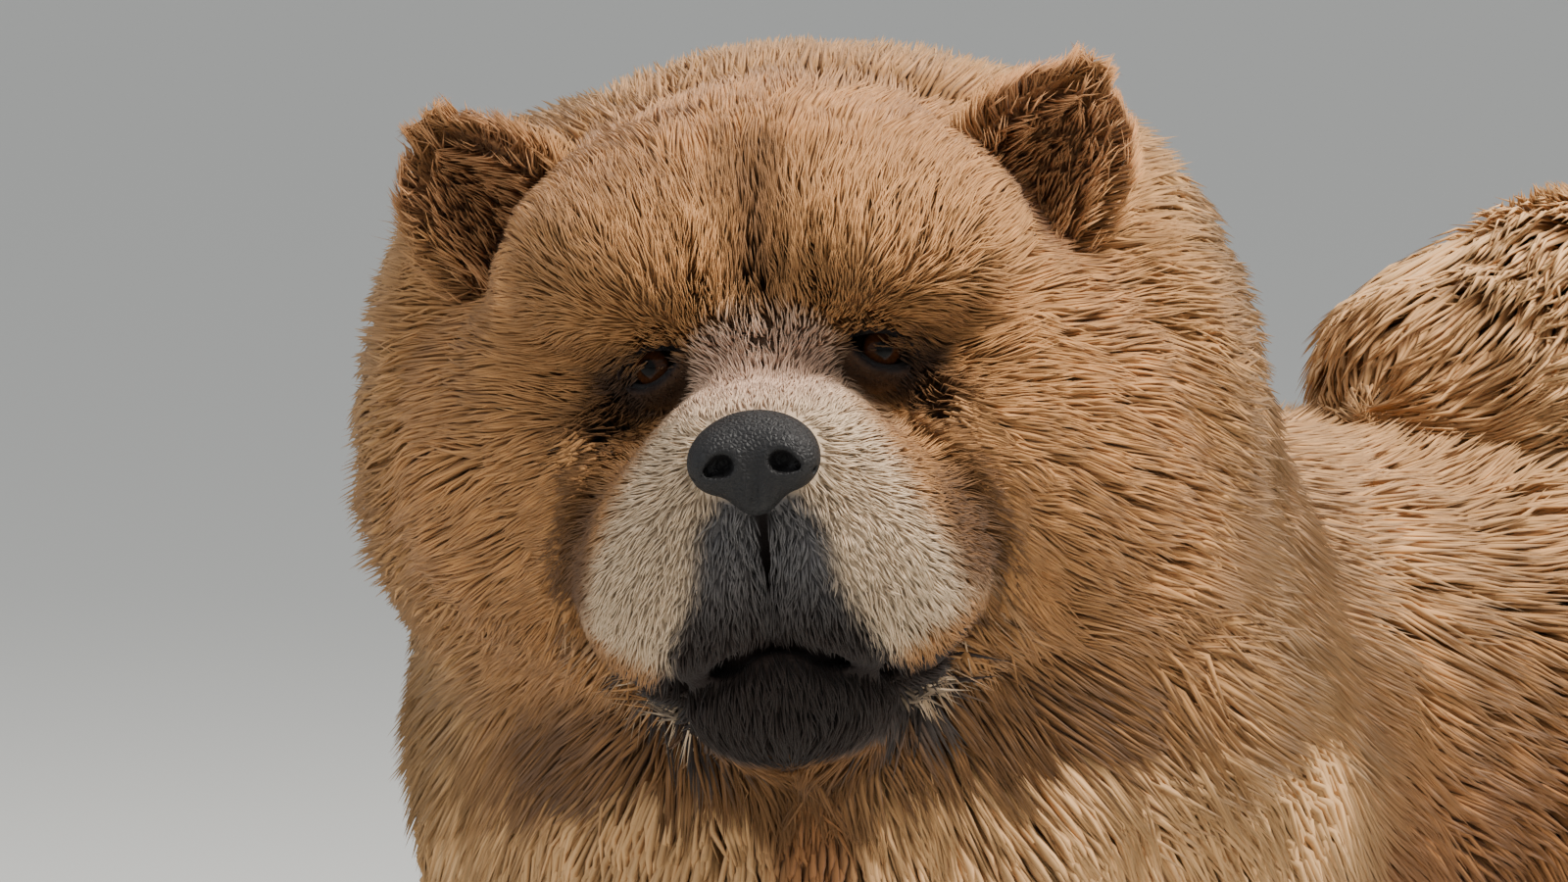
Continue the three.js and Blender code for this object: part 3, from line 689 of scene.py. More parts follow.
WEDGE_UP = [-145, -132, -112, -104, -90, -76, -56, -44]
WEDGE_HALF = [44, 54, 56, 40, 31, 25, 22, 15]
MUZZLE_UP = [-122, -100, -70, -38, -6, 10, 20]
MUZZLE_HALF = [60, 68, 62, 43, 24, 20, 12]
FLEW_ACROSS, FLEW_UP = [30, 70], [-108, -85]
# Below the flews the wedge reaches back under the jaw: that part is a painted shadow
JAW_UP, JAW_REACH = [-112, -104], [-30, -104]
FACE_SOFT = 24
EYE_NEAR = 20


def on_face(local, reach):
    return below(local[:, 1], reach, reach + FACE_SOFT)


def near_eye(local, sign):
    return np.linalg.norm(local - on_side(EYE_AT, sign), axis=1) < EYE_NEAR


def dark_mouth_and_painted_shadow(local):
    """The dark lips and chin, and a painted shadow under the flews: a wedge below the nose, wider downwards
    """
    x, _, z = local.T
    half = np.interp(z, WEDGE_UP, WEDGE_HALF)
    reach = np.interp(z, JAW_UP, JAW_REACH)
    wedge = below(np.abs(x), half - 5, half + 6) * on_face(local, reach)
    return wedge * below(z, -48, -42) * above(z, -148, -136)


def lips(local):
    """The bare edges of the lips"""
    line = line_distance(folded_sides(local), SIDE_FOLDS["mouth"])
    split = line_distance(local, MIDDLE_FOLDS["lip_split"])
    return np.maximum(below(line, 4, 8), below(split, 1.5, 4)) * on_face(local, -70)


def body_marks_and_painted_light(shade, p, local):
    """The mane, rear, legs, tail and chest, and painted light and shade on the back, crown, low flanks and
    below the cheeks
    """
    x, y, z = local.T
    along, high = p[:, 1], p[:, 2]
    mane = below(along, -190, -90) * above(high, 260, 380) * above(y, -20, 60)
    # Painted light: a paler top of the back, for the light that falls on it
    back = above(high, 430, 480) * above(along, -160, -60)
    # Painted shade: a deeper red on the crown that takes back the light falling on the top of the head
    top_of_head_painted_shade = above(z, 40, 90) * below(y, 20, 90)
    # Painted shade: deeper red on the lower flanks, for the shade below the lit back
    low_side_painted_shade = above(along, -140, -60) * below(high, 370, 450)
    rear = above(along, 200, 285) * below(high, 440, 560)
    legs = below(high, 60, 260)
    tail = above(high, 470, 520) * above(along, 80, 140)
    chest = above(z, -330, -280) * below(z, -168, -150) * below(y, 40, 120)
    chest_line = chest * below(np.abs(x), 8, 26)
    # Painted shadow: a dark brown band on the fur below the cheeks, where the head shades the chest
    painted_shadow_under_cheeks = above(z, -170, -156) * below(z, -130, -110) * below(np.abs(x), 90, 135) * below(y, 60, 130)
    for other, share, mask in (
        (MANE_TAN, 0.6, mane),
        (PALE_COAT, 0.35, back),
        (DEEP_RED, 0.35, top_of_head_painted_shade),
        (DEEP_RED, 0.7, low_side_painted_shade),
        (PALE_COAT, 0.6, rear),
        (PALE_COAT, 0.25, legs),
        (PALE_COAT, 0.6, tail),
        (PALE_COAT, 0.75, chest),
        (DEEP_RED, 0.9, chest_line),
        (PAINTED_SHADE_BROWN, 0.8, painted_shadow_under_cheeks),
    ):
        shade = blend(shade, other, share * mask)
    return shade


def face_marks_and_painted_shade(shade, local):
    """The pale muzzle and bridge, and painted shade in the furrow and in the folds of the cheeks"""
    x, _, z = local.T
    front = on_face(local, -62)
    half = np.interp(z, MUZZLE_UP, MUZZLE_HALF)
    flew_edge = np.interp(np.abs(x), FLEW_ACROSS, FLEW_UP)
    pale = below(np.abs(x), half - 5, half + 7) * above(z - flew_edge, -5, 5) * below(z, 6, 18) * front
    shade = blend(shade, MUZZLE, pale)
    shade = blend(shade, BRIDGE, 0.8 * pale * above(z, -24, -6))
    # Painted shade in the forehead's furrow and in the cheeks' folds
    furrow = below(line_distance(local, MIDDLE_FOLDS["furrow"]), 4, 18) * above(z, 8, 24)
    shade = blend(shade, PAINTED_SHADE_BROWN, 0.8 * front * furrow)
    cheek = below(line_distance(folded_sides(local), SIDE_FOLDS["cheek"][:4]), 3, 12)
    return blend(shade, PAINTED_SHADE_BROWN, 0.85 * cheek * on_face(local, -50))


def eye_lids_and_painted_shade(shade, local, sign, opening):
    """Painted shade in the hollow round an eye, and the bare black skin of its lids"""
    around = ball([sign * 41, -62, -3], [18, 26, 12])(local)
    shade = blend(shade, EYE_HOLLOW_PAINTED_SHADE, 0.9 * below(around, -3, 7))
    return blend(shade, BLACK_SKIN, near_eye(local, sign) * below(opening(local), 1.2, 3.2))


def ear_cup_painted_light(shade, local, sign):
    """Painted light: the inside of an ear, in a red lightened for sun falling into the cup"""
    rise, aside, back = ear_parts(local, sign)
    aside = np.abs(aside) / EAR_WIDE
    cup = EAR_CUP * (1 - EAR_FLATTER * np.clip(rise, 0, 1)) * (1 - np.clip(aside, 0, 1) ** 2)
    inside = (back < cup) * (back > -14) * (rise > -0.1) * below(aside, 0.7, 0.95)
    return blend(shade, EAR_CUP_PAINTED_LIGHT, 0.8 * inside * below(rise, 0.75, 1.0))


def coat_colour(p):
    """The coat's colour anywhere on the dog, with its painted light and shade"""
    local = in_head(p)
    shade = np.repeat(RED_COAT[None], len(p), 0)
    shade = body_marks_and_painted_light(shade, p, local)
    shade = face_marks_and_painted_shade(shade, local)
    for sign, opening in zip(SIDES.values(), lid_openings):
        shade = eye_lids_and_painted_shade(shade, local, sign, opening)
        shade = ear_cup_painted_light(shade, local, sign)
    # Dark lips and chin, with a painted shadow under the flews
    dark = dark_mouth_and_painted_shadow(local)
    shade = blend(shade, LIP_GREY, dark)
    shade = blend(shade, BLACK_CHIN_AND_PAINTED_SHADOW, dark * above(-local[:, 2], 60, 98))
    return blend(shade, BLACK_SKIN, lips(local))


# Meshes and their unwrap
def mesh_object(name, points, faces):
    """A mesh from an array of points and one of faces that all have the same number of corners"""
    mesh = bpy.data.meshes.new(name)
    corners = faces.shape[1]
    mesh.vertices.add(len(points))
    mesh.vertices.foreach_set("co", points.astype(np.float32).ravel())
    mesh.loops.add(faces.size)
    mesh.loops.foreach_set("vertex_index", faces.astype(np.int32).ravel())
    mesh.polygons.add(len(faces))
    mesh.polygons.foreach_set("loop_start", np.arange(0, faces.size, corners, dtype=np.int32))
    mesh.update(calc_edges=True)
    mesh.validate()
    mesh.polygons.foreach_set("use_smooth", np.full(len(mesh.polygons), True))
    made = bpy.data.objects.new(name, mesh)
    bpy.context.scene.collection.objects.link(made)
    return made


def ring_faces(rings, sides, closed=False):
    """The quads between rings of points, the last ring joined to the first if closed"""
    faces = []
    for ring in range(rings if closed else rings - 1):
        here, after = ring * sides, (ring + 1) % rings * sides
        for k in range(sides):
            beside = (k + 1) % sides
            faces.append([here + k, here + beside, after + beside, after + k])
    return np.array(faces)


SKIN_SHADE = 0.7


def paint(made, colours):
    layer = made.data.color_attributes.new("Coat", "FLOAT_COLOR", "POINT")
    layer.data.foreach_set("color", np.column_stack([colours, np.ones(len(colours))]).ravel())


def add_unwrap(made, uv):
    layer = made.data.uv_layers.new(name="OFBake")
    corner = np.empty(len(made.data.loops), np.int32)
    made.data.loops.foreach_get("vertex_index", corner)
    layer.data.foreach_set("uv", uv[corner].astype(np.float32).ravel())


# The unwrap: each region of the dog seen along its six own directions, side by side
REGIONS = [
    ([-210, -400, 130], [210, 345, 725]),
    ([-125, 0, 410], [125, 340, 680]),
    ([0, -240, -5], [200, -50, 300]),
    ([-200, -240, -5], [0, -50, 300]),
    ([0, 50, -5], [200, 340, 300]),
    ([-200, 50, -5], [0, 340, 300]),
    ([-160, -180, -180], [160, 140, 140]),
    ([60, -70, 10], [180, 40, 140]),
    ([-180, -70, 10], [-60, 40, 140]),
]
TAIL_REGION, FRONT_REGION, HIND_REGION, HEAD_REGION, EAR_REGION = 1, 2, 4, 6, 7
LEG_TOP = 215
ATLAS_COLUMNS = 6
MARGIN = 0.04


def region_of(p):
    region = np.zeros(len(p), int)
    low = p[:, 2] < LEG_TOP
    region[low & (p[:, 1] < 0)] = FRONT_REGION
    region[low & (p[:, 1] >= 0)] = HIND_REGION
    region[low & (p[:, 0] < 0)] += 1
    return region


def unwrap(p, normal, region):
    """Where points lie on the unwrap, from their place, their facing and their region"""
    facing = np.abs(normal).argmax(1)
    side = facing * 2 + (normal[np.arange(len(p)), facing] < 0)
    low = np.array([r[0] for r in REGIONS], float)[region]
    high = np.array([r[1] for r in REGIONS], float)[region]
    share = np.clip((p - low) / (high - low), 0, 1)
    across = np.where(facing == 0, share[:, 1], share[:, 0])
    up = np.where(facing == 2, share[:, 1], share[:, 2])
    u = (side + MARGIN + across * (1 - 2 * MARGIN)) / ATLAS_COLUMNS
    v = (region + MARGIN + up * (1 - 2 * MARGIN)) / len(REGIONS)
    return np.column_stack([u, v])


def face_normals(points, faces):
    a, b, c = (points[faces[:, i]] for i in (0, 1, 2))
    return unit(np.cross(b - a, c - a))


class Net:
    """A skin of quads: its points as drawn, their places on the dog, and its row on the unwrap"""

    def __init__(self, field, low, high, step, region=0, place=lambda p: p, rounds=2):
        points, self.quads = surface_of(field, low, high, step)
        self.points = rounded(points, self.quads, rounds)
        self.places = place(self.points)
        self.region = region

    def rows(self, p):
        return np.full(len(p), self.region) if self.region else region_of(p)

    def corner_unwrap(self):
        normal = face_normals(self.points, self.quads)
        rows = self.rows(self.points[self.quads].mean(1))
        return unwrap(self.points[self.quads].reshape(-1, 3), np.repeat(normal, 4, 0), np.repeat(rows, 4))


# Shaders
class Finish:
    """A material whose nodes are made by one method"""

    def __init__(self, name, **looks):
        self.material = bpy.data.materials.new(name)
        self.material.use_nodes = True
        self.nodes = self.material.node_tree.nodes
        self.links = self.material.node_tree.links
        self.look(**looks)

    def look(self, **looks):
        """Sets the surface's own sockets, or links them to other nodes"""
        self.fill(self.nodes["Principled BSDF"], looks)

    def fill(self, node, named):
        for key, value in named.items():
            self.set(node.inputs[key.replace("_", " ")], value)

    def set(self, socket, value):
        if isinstance(value, bpy.types.NodeSocket):
            self.links.new(value, socket)
        elif isinstance(value, np.ndarray):
            socket.default_value = (*map(float, value), 1.0)
        else:
            socket.default_value = value

    def node(self, kind, settings, *values, output=0, **named):
        node = self.nodes.new(kind)
        for key, value in settings.items():
            setattr(node, key, value)
        for socket, value in zip(node.inputs, values):
            self.set(socket, value)
        self.fill(node, named)
        return node.outputs[output]

    def noise(self, scale, detail):
        place = self.node("ShaderNodeTexCoord", {}, output="Object")
        return self.node("ShaderNodeTexNoise", {}, Vector=place, Scale=scale, Detail=detail, output="Fac")

    def mix(self, share, first, second):
        node = self.nodes.new("ShaderNodeMix")
        node.data_type = "RGBA"
        for socket, value in ((0, share), (6, first), (7, second)):
            self.set(node.inputs[socket], value)
        return node.outputs[2]

    def rough(self, least, signal):
        """Roughness from a least value up, as a signal goes"""
        self.look(Roughness=self.node("ShaderNodeMath", {"operation": "MULTIPLY_ADD"}, signal, 0.2, least))

    def bump(self, height, strength, distance):
        bump = self.node("ShaderNodeBump", {}, Strength=strength, Distance=distance, Height=height)
        self.look(Normal=bump)


def fur_finish(name, bumpy):
    fur = Finish(
        name, Roughness=0.75, Specular_IOR_Level=0.16, Sheen_Weight=0.04, Sheen_Roughness=0.5
    )
    marking = fur.node("ShaderNodeAttribute", {"attribute_name": "Coat"}, output="Color")
    dark = fur.mix(0.18, marking, colour(84, 52, 32))
    fur.look(Base_Color=fur.mix(fur.noise(26, 3), dark, marking))
    if bumpy:
        strands = fur.noise(900, 2)
        fur.bump(strands, 0.6, 0.0008)
        fur.rough(0.65, strands)
    return fur.material


def leather_finish(name, base, pebble, rough):
    leather = Finish(name, Specular_IOR_Level=0.4)
    cells = leather.node(
        "ShaderNodeTexVoronoi",
        {"feature": "DISTANCE_TO_EDGE"},
        Vector=leather.node("ShaderNodeTexCoord", {}, output="Object"),
        Scale=pebble,
    )
    wear = leather.noise(140, 3)
    leather.look(Base_Color=leather.mix(wear, base * 0.6, base * 1.5))
    leather.rough(rough, wear)
    leather.bump(cells, 0.8, 0.001)
    return leather.material


# Skin
BODY_STEP, HEAD_STEP, EAR_STEP, TAIL_STEP, NOSE_STEP = 3.8, 1.9, 1.7, 4.0, 0.8
fur_skin = fur_finish("fur_skin", True)
fur_tufts = fur_finish("fur_tufts", False)

body_net = Net(body_skin_field, [-210, -400, -6], [210, 345, 725], BODY_STEP)
body_net.places[:, 2] = np.maximum(body_net.places[:, 2], SOLE)
tail_net = Net(tail_skin_field, [-95, 50, 370], [95, 340, 640], TAIL_STEP, TAIL_REGION)
head_net = Net(head_skin_field, [-150, -166, -180], [150, 135, 122], HEAD_STEP, HEAD_REGION, from_head, 1)
ear_nets = []
for row, ear in enumerate(ears, EAR_REGION):
    low, high = REGIONS[row]
    ear_nets.append(Net(ear, low, high, EAR_STEP, row, from_head))
nets = [body_net, tail_net, head_net, *ear_nets]
starts = np.cumsum([0] + [len(net.places) for net in nets])
skin_places = np.concatenate([net.places for net in nets])
skin = mesh_object(
    "skin",
    to_scene(skin_places),
    np.concatenate([net.quads + start for net, start in zip(nets, starts)]),
)
paint(skin, coat_colour(skin_places) * SKIN_SHADE)
layer = skin.data.uv_layers.new(name="OFBake")
layer.data.foreach_set(
    "uv", np.concatenate([net.corner_unwrap() for net in nets]).astype(np.float32).ravel()
)
skin.data.materials.append(fur_skin)
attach(skin, "root")
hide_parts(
    "head",
    "lower_jaw",
    "neck",
    "torso",
    "tail",
    *(f"ear_{side}" for side in SIDES),
    *(f"{end}_{part}_{side}" for end in HEELS for part in ("leg", "paw") for side in SIDES),
)


# The coat: tufts that follow the lie, gathered in clumps
def spread(net, spacing_of, keep):
    """Random places on a net, nearer together where the spacing is small"""
    points, quads = net.places, net.quads
    normal = face_normals(points, quads)
    a, b, c, d = (points[quads[:, i]] for i in range(4))
    area = np.linalg.norm(np.cross(c - a, d - b), axis=1) / 2
    centre = points[quads].mean(1)
    wanted = area / spacing_of(centre) ** 2 * keep(centre)
    count = np.floor(wanted + rng.random(len(wanted))).astype(int)
    face = np.repeat(np.arange(len(quads)), count)
    u, v = rng.random((len(face), 1)), rng.random((len(face), 1))
    a, b, c, d = (points[quads[face, i]] for i in range(4))
    return (a * (1 - u) + b * u) * (1 - v) + (d * (1 - u) + c * u) * v, normal[face]


LEAST_LONG, MORE_LONG = 0.8, 0.4
LEAST_HIGH, MORE_HIGH = 0.72, 0.28
RISE_CURVE, CLUMP_CURVE = 0.8, 1.3


def tuft_paths(roots, flesh, coat_here, kind):
    """Lines of hair from their roots along the lie, rising to the coat's depth"""
    count = len(roots)
    deep = coat_here.at(roots)[1]
    long = deep * kind["long"] * (LEAST_LONG + MORE_LONG * rng.random(count))
    high = LEAST_HIGH + MORE_HIGH * rng.random(count)
    veer = rng.normal(0, kind["veer"], count)
    ground = roots
    path = [roots]
    before = 0.0
    for s in kind["stations"][1:]:
        up = slope_of(flesh, ground)
        lie = coat_here.at(ground)[0]
        along = unit(lie - up * (lie * up).sum(1, keepdims=True))
        along = unit(along + np.cross(up, along) * veer[:, None])
        ground = ground + along * (long * (s - before))[:, None]
        here = coat_here.at(ground)[1]
        base = skin_depth(here) * kind["raised"]
        ground = settle(flesh, ground, base + (here - base) * high * s**RISE_CURVE)
        path.append(ground)
        before = s
    return np.stack(path, 1), deep


def clump(paths, roots, stations, spacing, strength):
    """Draws each tuft's outer part toward the nearest leader's"""
    leaders = rng.permutation(len(roots))[: max(len(roots) // spacing, 1)]
    tree = kdtree.KDTree(len(leaders))
    for i in leaders:
        tree.insert(roots[i], int(i))
    tree.balance()
    nearest = np.array([tree.find(root)[1] for root in roots])
    for k, s in enumerate(stations[1:], 1):
        paths[:, k] += (paths[nearest, k] - paths[:, k]) * strength * s**CLUMP_CURVE
    return nearest


CORNERS = 3
FLATNESS = 0.55
SPIN = 0.35
SUNK = 1.5
THIN_COAT, THICK_COAT = 4, 80
LEAST_THICK, MORE_THICK = 0.7, 0.6
PATCH = 0.003
MOST_TRIANGLES = 190000
ROOT_SHADE, TIP_SHADE = 0.62, 1.14


def grow(name, net, roots, normals, flesh, coat_here, kind):
    """Makes the tufts of one region as joined meshes of three-sided tapered spikes"""
    stations = kind["stations"]
    paths, deep = tuft_paths(roots, flesh, coat_here, kind)
    count, rings = len(roots), len(stations) - 1
    tint = np.ones((count, 1))
    for spacing, strength, varied in kind["clumps"]:
        leader = clump(paths, roots, stations, spacing, strength)
        tint += varied * (rng.random((count, 1))[leader] - 0.5)
    tint += kind["tint"] * (rng.random((count, 1)) - 0.5)
    least, most = kind["wide"]
    half = (least + (most - least) * above(deep, THIN_COAT, THICK_COAT)) / 2
    half = half * (LEAST_THICK + MORE_THICK * rng.random(count))
    shade = coat_colour(paths[:, kind["seen"]]) * tint
    local, local_normals = roots, normals
    if net.region >= HEAD_REGION:
        local, local_normals = in_head(roots), normals @ head_turn
    root_unwrap = unwrap(local, local_normals, net.rows(local))
    spin = SPIN * np.sin(rng.random(count) * 2 * np.pi)
    points, colours, unwraps = [], [], []
    for k, (s, girth) in enumerate(zip(stations, kind["girths"])):
        along = unit(paths[:, k + 1] - paths[:, max(k - 1, 0)])
        across = unit(np.cross(along, normals) + 1e-6)
        up = np.cross(across, along)
        centre = paths[:, k] - (along * SUNK if k == 0 else 0)
        for corner in range(CORNERS):
            turn = 2 * np.pi * corner / CORNERS + np.pi / 2 + spin
            offset = across * (np.cos(turn) * half * girth)[:, None]
            offset += up * (np.sin(turn) * half * girth * FLATNESS)[:, None]
            points.append(centre + offset)
            colours.append(shade * (ROOT_SHADE + (TIP_SHADE - ROOT_SHADE) * s))
            unwraps.append(root_unwrap + np.array([corner - 1, s * 2 - 1]) * PATCH / 2)
    points.append(paths[:, rings])
    colours.append(shade * TIP_SHADE)
    unwraps.append(root_unwrap + np.array([0, 1]) * PATCH / 2)
    points, colours, unwraps = np.stack(points, 1), np.stack(colours, 1), np.stack(unwraps, 1)
    points[..., 2] = np.maximum(points[..., 2], SOLE)
    tip = rings * CORNERS
    faces = [(0, 2, 1)]
    for i in range(CORNERS):
        after = (i + 1) % CORNERS
        for ring in range(rings - 1):
            a, b = ring * CORNERS + i, ring * CORNERS + after
            faces += [(a, b, b + CORNERS), (a, b + CORNERS, a + CORNERS)]
        faces.append((tip - CORNERS + i, tip - CORNERS + after, tip))
    faces = np.array(faces)
    order = np.argsort(roots[:, 1] + 0.3 * roots[:, 0], kind="stable")
    pieces = math.ceil(count * len(faces) / MOST_TRIANGLES)
    for part, chosen in enumerate(np.array_split(order, pieces)):
        shape = faces[None] + (np.arange(len(chosen)) * (tip + 1))[:, None, None]
        made = mesh_object(
            f"{name}_{part + 1}", to_scene(points[chosen].reshape(-1, 3)), shape.reshape(-1, 3)
        )
        paint(made, np.clip(colours[chosen].reshape(-1, 3), 0, 1))
        add_unwrap(made, unwraps[chosen].reshape(-1, 2))
        made.data.materials.append(fur_tufts)
        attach(made, "root")


# Kinds of tuft. "stations" are shares of its length and "girths" its thickness there. "raised" says
# whether it starts on the skin or the flesh. "long" is its length in coat depths, "wide" its thickness
# in thin and thick coat, and "seen" the station whose place gives its colour. "clumps" have a size, a
# strength and how much their colour varies.
LONG = {
    "stations": [0, 0.38, 0.72, 1],
    "girths": [0.75, 1, 0.7],
    "raised": 1,
    "long": 1.25,
    "veer": 0.2,
    "wide": (1.8, 4.2),
    "seen": 2,
    "tint": 0.3,
    "clumps": [(120, 0.3, 0.2), (14, 0.45, 0.2)],
}
SHORT = {
    "stations": [0, 0.5, 1],
    "girths": [0.8, 0.9],
    "raised": 1,
    "long": 1.5,
    "veer": 0.25,
    "wide": (0.95, 4.0),
    "seen": 0,
    "tint": 0.3,
    "clumps": [(14, 0.35, 0.16)],
}
EAR = {**SHORT, "raised": 0, "long": 1.3, "wide": (1.3, 5.0)}
LEG = {**SHORT, "wide": (1.6, 6.0), "clumps": [(14, 0.45, 0.2)]}
BODY = {**LONG, "stations": [0, 0.55, 1], "girths": [0.8, 1.1], "seen": 1}
FACE_DEPTH, LEG_DEPTH = 13, 22
EAR_SPACING, TAIL_SPACING = 1.9, 3.7
FACE_SPACING, HEAD_WIDER = 1.45, 1.35
LEG_SPACING, MANE_NEARER, BODY_NEARER = 5.0, 1.9, 0.7


def head_spacing(p):
    return FACE_SPACING + HEAD_WIDER * above(coat.at(p)[1], 6, 40)


def head_keep(p):
    """The share of hair on the head: none on the lips, nose and lids, or inside the body"""
    local = in_head(p)
    keep = below(lips(local), 0.4, 0.8)
    keep *= above(nose_flesh(local), 0.6, 2.0)
    for sign, opening in zip(SIDES.values(), lid_openings):
        keep *= np.where(near_eye(local, sign), above(opening(local), 2.0, 4.0), 1)
    return keep * above(body_flesh(p), 0, 14)


def body_spacing(p):
    mane = below(p[:, 1], -160, -40)
    high = above(p[:, 2], 150, 300)
    return LEG_SPACING - MANE_NEARER * mane * high - BODY_NEARER * high


def body_keep(p):
    return (p[:, 2] > 4) * above(skull_flesh(in_head(p)), -14, -2)


def tail_keep(p):
    return above(torso_flesh(p), -10, 4)


def ear_keep(p):
    return above(skull_flesh(in_head(p)), -2, 3)


roots, facing = spread(head_net, head_spacing, head_keep)
is_short = coat.at(roots)[1] < FACE_DEPTH
grow("coat_face", head_net, roots[is_short], facing[is_short], whole_head, coat, SHORT)
grow("coat_head", head_net, roots[~is_short], facing[~is_short], whole_flesh, coat, LONG)
for (side, sign), ear_net, ear in zip(SIDES.items(), ear_nets, ears):
    roots, facing = spread(ear_net, lambda p: EAR_SPACING, ear_keep)
    grow("coat_ear_" + side, ear_net, roots, facing, lambda p: ear(in_head(p)), Coat(ear_guides(sign)), EAR)
roots, facing = spread(body_net, body_spacing, body_keep)
is_short = coat.at(roots)[1] < LEG_DEPTH
grow("coat_legs", body_net, roots[is_short], facing[is_short], whole_flesh, coat, LEG)
grow("coat_body", body_net, roots[~is_short], facing[~is_short], whole_flesh, coat, BODY)
roots, facing = spread(tail_net, lambda p: TAIL_SPACING, tail_keep)
grow("coat_tail", tail_net, roots, facing, tail_flesh, tail_coat, LONG)


# Nose
def nose_field(local):
    """The nose with its nostrils and the groove between them"""
    nose = nose_flesh(local)
    for sign in SIDES.values():
        nostril = merged(
            3,
            ball([sign * 10.5, -158, -33], [4.6, 9, 4.2]),
            limb([sign * 13, -156, -34], [sign * 21, -148, -37], 2.2, 1.3),
        )
        nose = -soft_min(-nose, nostril(local), 1.5)
    groove = limb([0, -157, -35], [0, -152, -55], 1.3, 1.6)
    return -soft_min(-nose, groove(local), 2)


nose_points, nose_quads = surface_of(nose_field, [-27, -166, -57], [27, -116, -10], NOSE_STEP)
nose_points = rounded(nose_points, nose_quads, 2)
nose = mesh_object("nose_pad", to_scene(from_head(nose_points)), nose_quads)
nose.data.materials.append(leather_finish("nose_leather", colour(15, 13, 14), 600, 0.5))
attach(nose, "root")
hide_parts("nose")


# Eyes
IRIS, PUPIL, IRIS_EDGE, IRIS_STREAKS = 7.4, 3.2, 0.6, 9
CORNEA, EYE_SUNK = 0.9, 0.9
EYE_RINGS, EYE_SIDES = 24, 36
EYE_BLACK = colour(8, 6, 5)
EYE_BROWN = colour(60, 34, 18)
EYE_WHITE = colour(34, 24, 20)


def eye_colour(aside, ahead, around):
    """The eye's colour at a distance from its axis and an angle round it"""
    if abs(aside - IRIS) < IRIS_EDGE or (ahead and aside < PUPIL):
        return EYE_BLACK
    if ahead and aside < IRIS:
        return EYE_BROWN * (0.8 + 0.4 * math.sin(around * IRIS_STREAKS) ** 2)
    return EYE_WHITE


def eye(side, sign):
    at, turn = eye_frame(sign)
    points, shades = [], []
    for ring in range(EYE_RINGS + 1):
        lean = math.pi * ring / EYE_RINGS
        aside, out = EYE_RADIUS * math.sin(lean), math.cos(lean)
        ahead = out > 0
        bulge = CORNEA * max(0, 1 - (aside / (IRIS + 1)) ** 2) if ahead else 0
        forward = EYE_RADIUS * out + bulge - EYE_SUNK
        for k in range(EYE_SIDES):
            around = 2 * math.pi * k / EYE_SIDES
            local = [aside * math.cos(around), -forward, aside * math.sin(around)]
            points.append(at + turn @ np.array(local))
            shades.append(eye_colour(aside, ahead, around))
    faces = ring_faces(EYE_RINGS + 1, EYE_SIDES)
    made = mesh_object("eyeball_" + side, to_scene(from_head(np.array(points))), faces)
    paint(made, np.array(shades))
    made.data.materials.append(eye_finish)
    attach(made, "root")
    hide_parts("eye_" + side)


wet = Finish("wet_eye", Roughness=0.05, Specular_IOR_Level=0.14)
wet.look(Base_Color=wet.node("ShaderNodeAttribute", {"attribute_name": "Coat"}, output="Color"))
eye_finish = wet.material
rim_leather = leather_finish("lid_leather", colour(22, 18, 18), 1500, 0.5)


RIM_POINTS, RIM_SIDES = 48, 8
RIM_THICK, RIM_OUT, RIM_LEAST = 1.5, 1.2, 3


def rim_line(sign):
    """The edge of an eye's opening, laid on a ball a little larger than the eye"""
    at, turn = eye_frame(sign)
    line = []
    for k in range(RIM_POINTS):
        around = 2 * math.pi * k / RIM_POINTS
        x = LID_WIDE * math.cos(around)
        bow = LID_HIGH * (1 - (x / LID_WIDE) ** 2)
        z = bow * (1 if math.sin(around) >= 0 else -1)
        reach = EYE_RADIUS + RIM_OUT
        depth = math.sqrt(max(reach**2 - (x * x + z * z), RIM_LEAST**2))
        line.append(at + turn @ np.array([x, -depth, z]))
    return np.array(line)


def lid_rim(side, sign):
    """A tube round the edge of an eye's lids"""
    line = rim_line(sign)
    along = unit(np.roll(line, -1, 0) - np.roll(line, 1, 0))
    across = unit(np.cross(along, [0.1, 0.2, 1.0]))
    up = np.cross(across, along)
    turn = 2 * np.pi * np.arange(RIM_SIDES) / RIM_SIDES
    ring = across[:, None] * np.cos(turn)[None, :, None] + up[:, None] * np.sin(turn)[None, :, None]
    points = (line[:, None] + ring * RIM_THICK).reshape(-1, 3)
    faces = ring_faces(RIM_POINTS, RIM_SIDES, closed=True)
    made = mesh_object("lid_rim_" + side, to_scene(from_head(points)), faces[:, ::-1])
    made.data.materials.append(rim_leather)
    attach(made, "root")


for side, sign in SIDES.items():
    eye(side, sign)
    lid_rim(side, sign)

# Claws: short curved spikes from each toe
CLAW_LONG, CLAW_THICK, CLAW_DROP = 15, 3.4, 6
CLAW_TAPER, CLAW_FLAT = 0.85, 0.75
CLAW_SUNK, CLAW_AHEAD, CLAW_BELOW = 5, 22, 14
CLAW_RINGS, CLAW_SIDES = 9, 12
horn = Finish("claw_horn", Roughness=0.4)
horn.look(Base_Color=horn.mix(horn.noise(300, 2), colour(38, 32, 29), colour(86, 74, 64)))


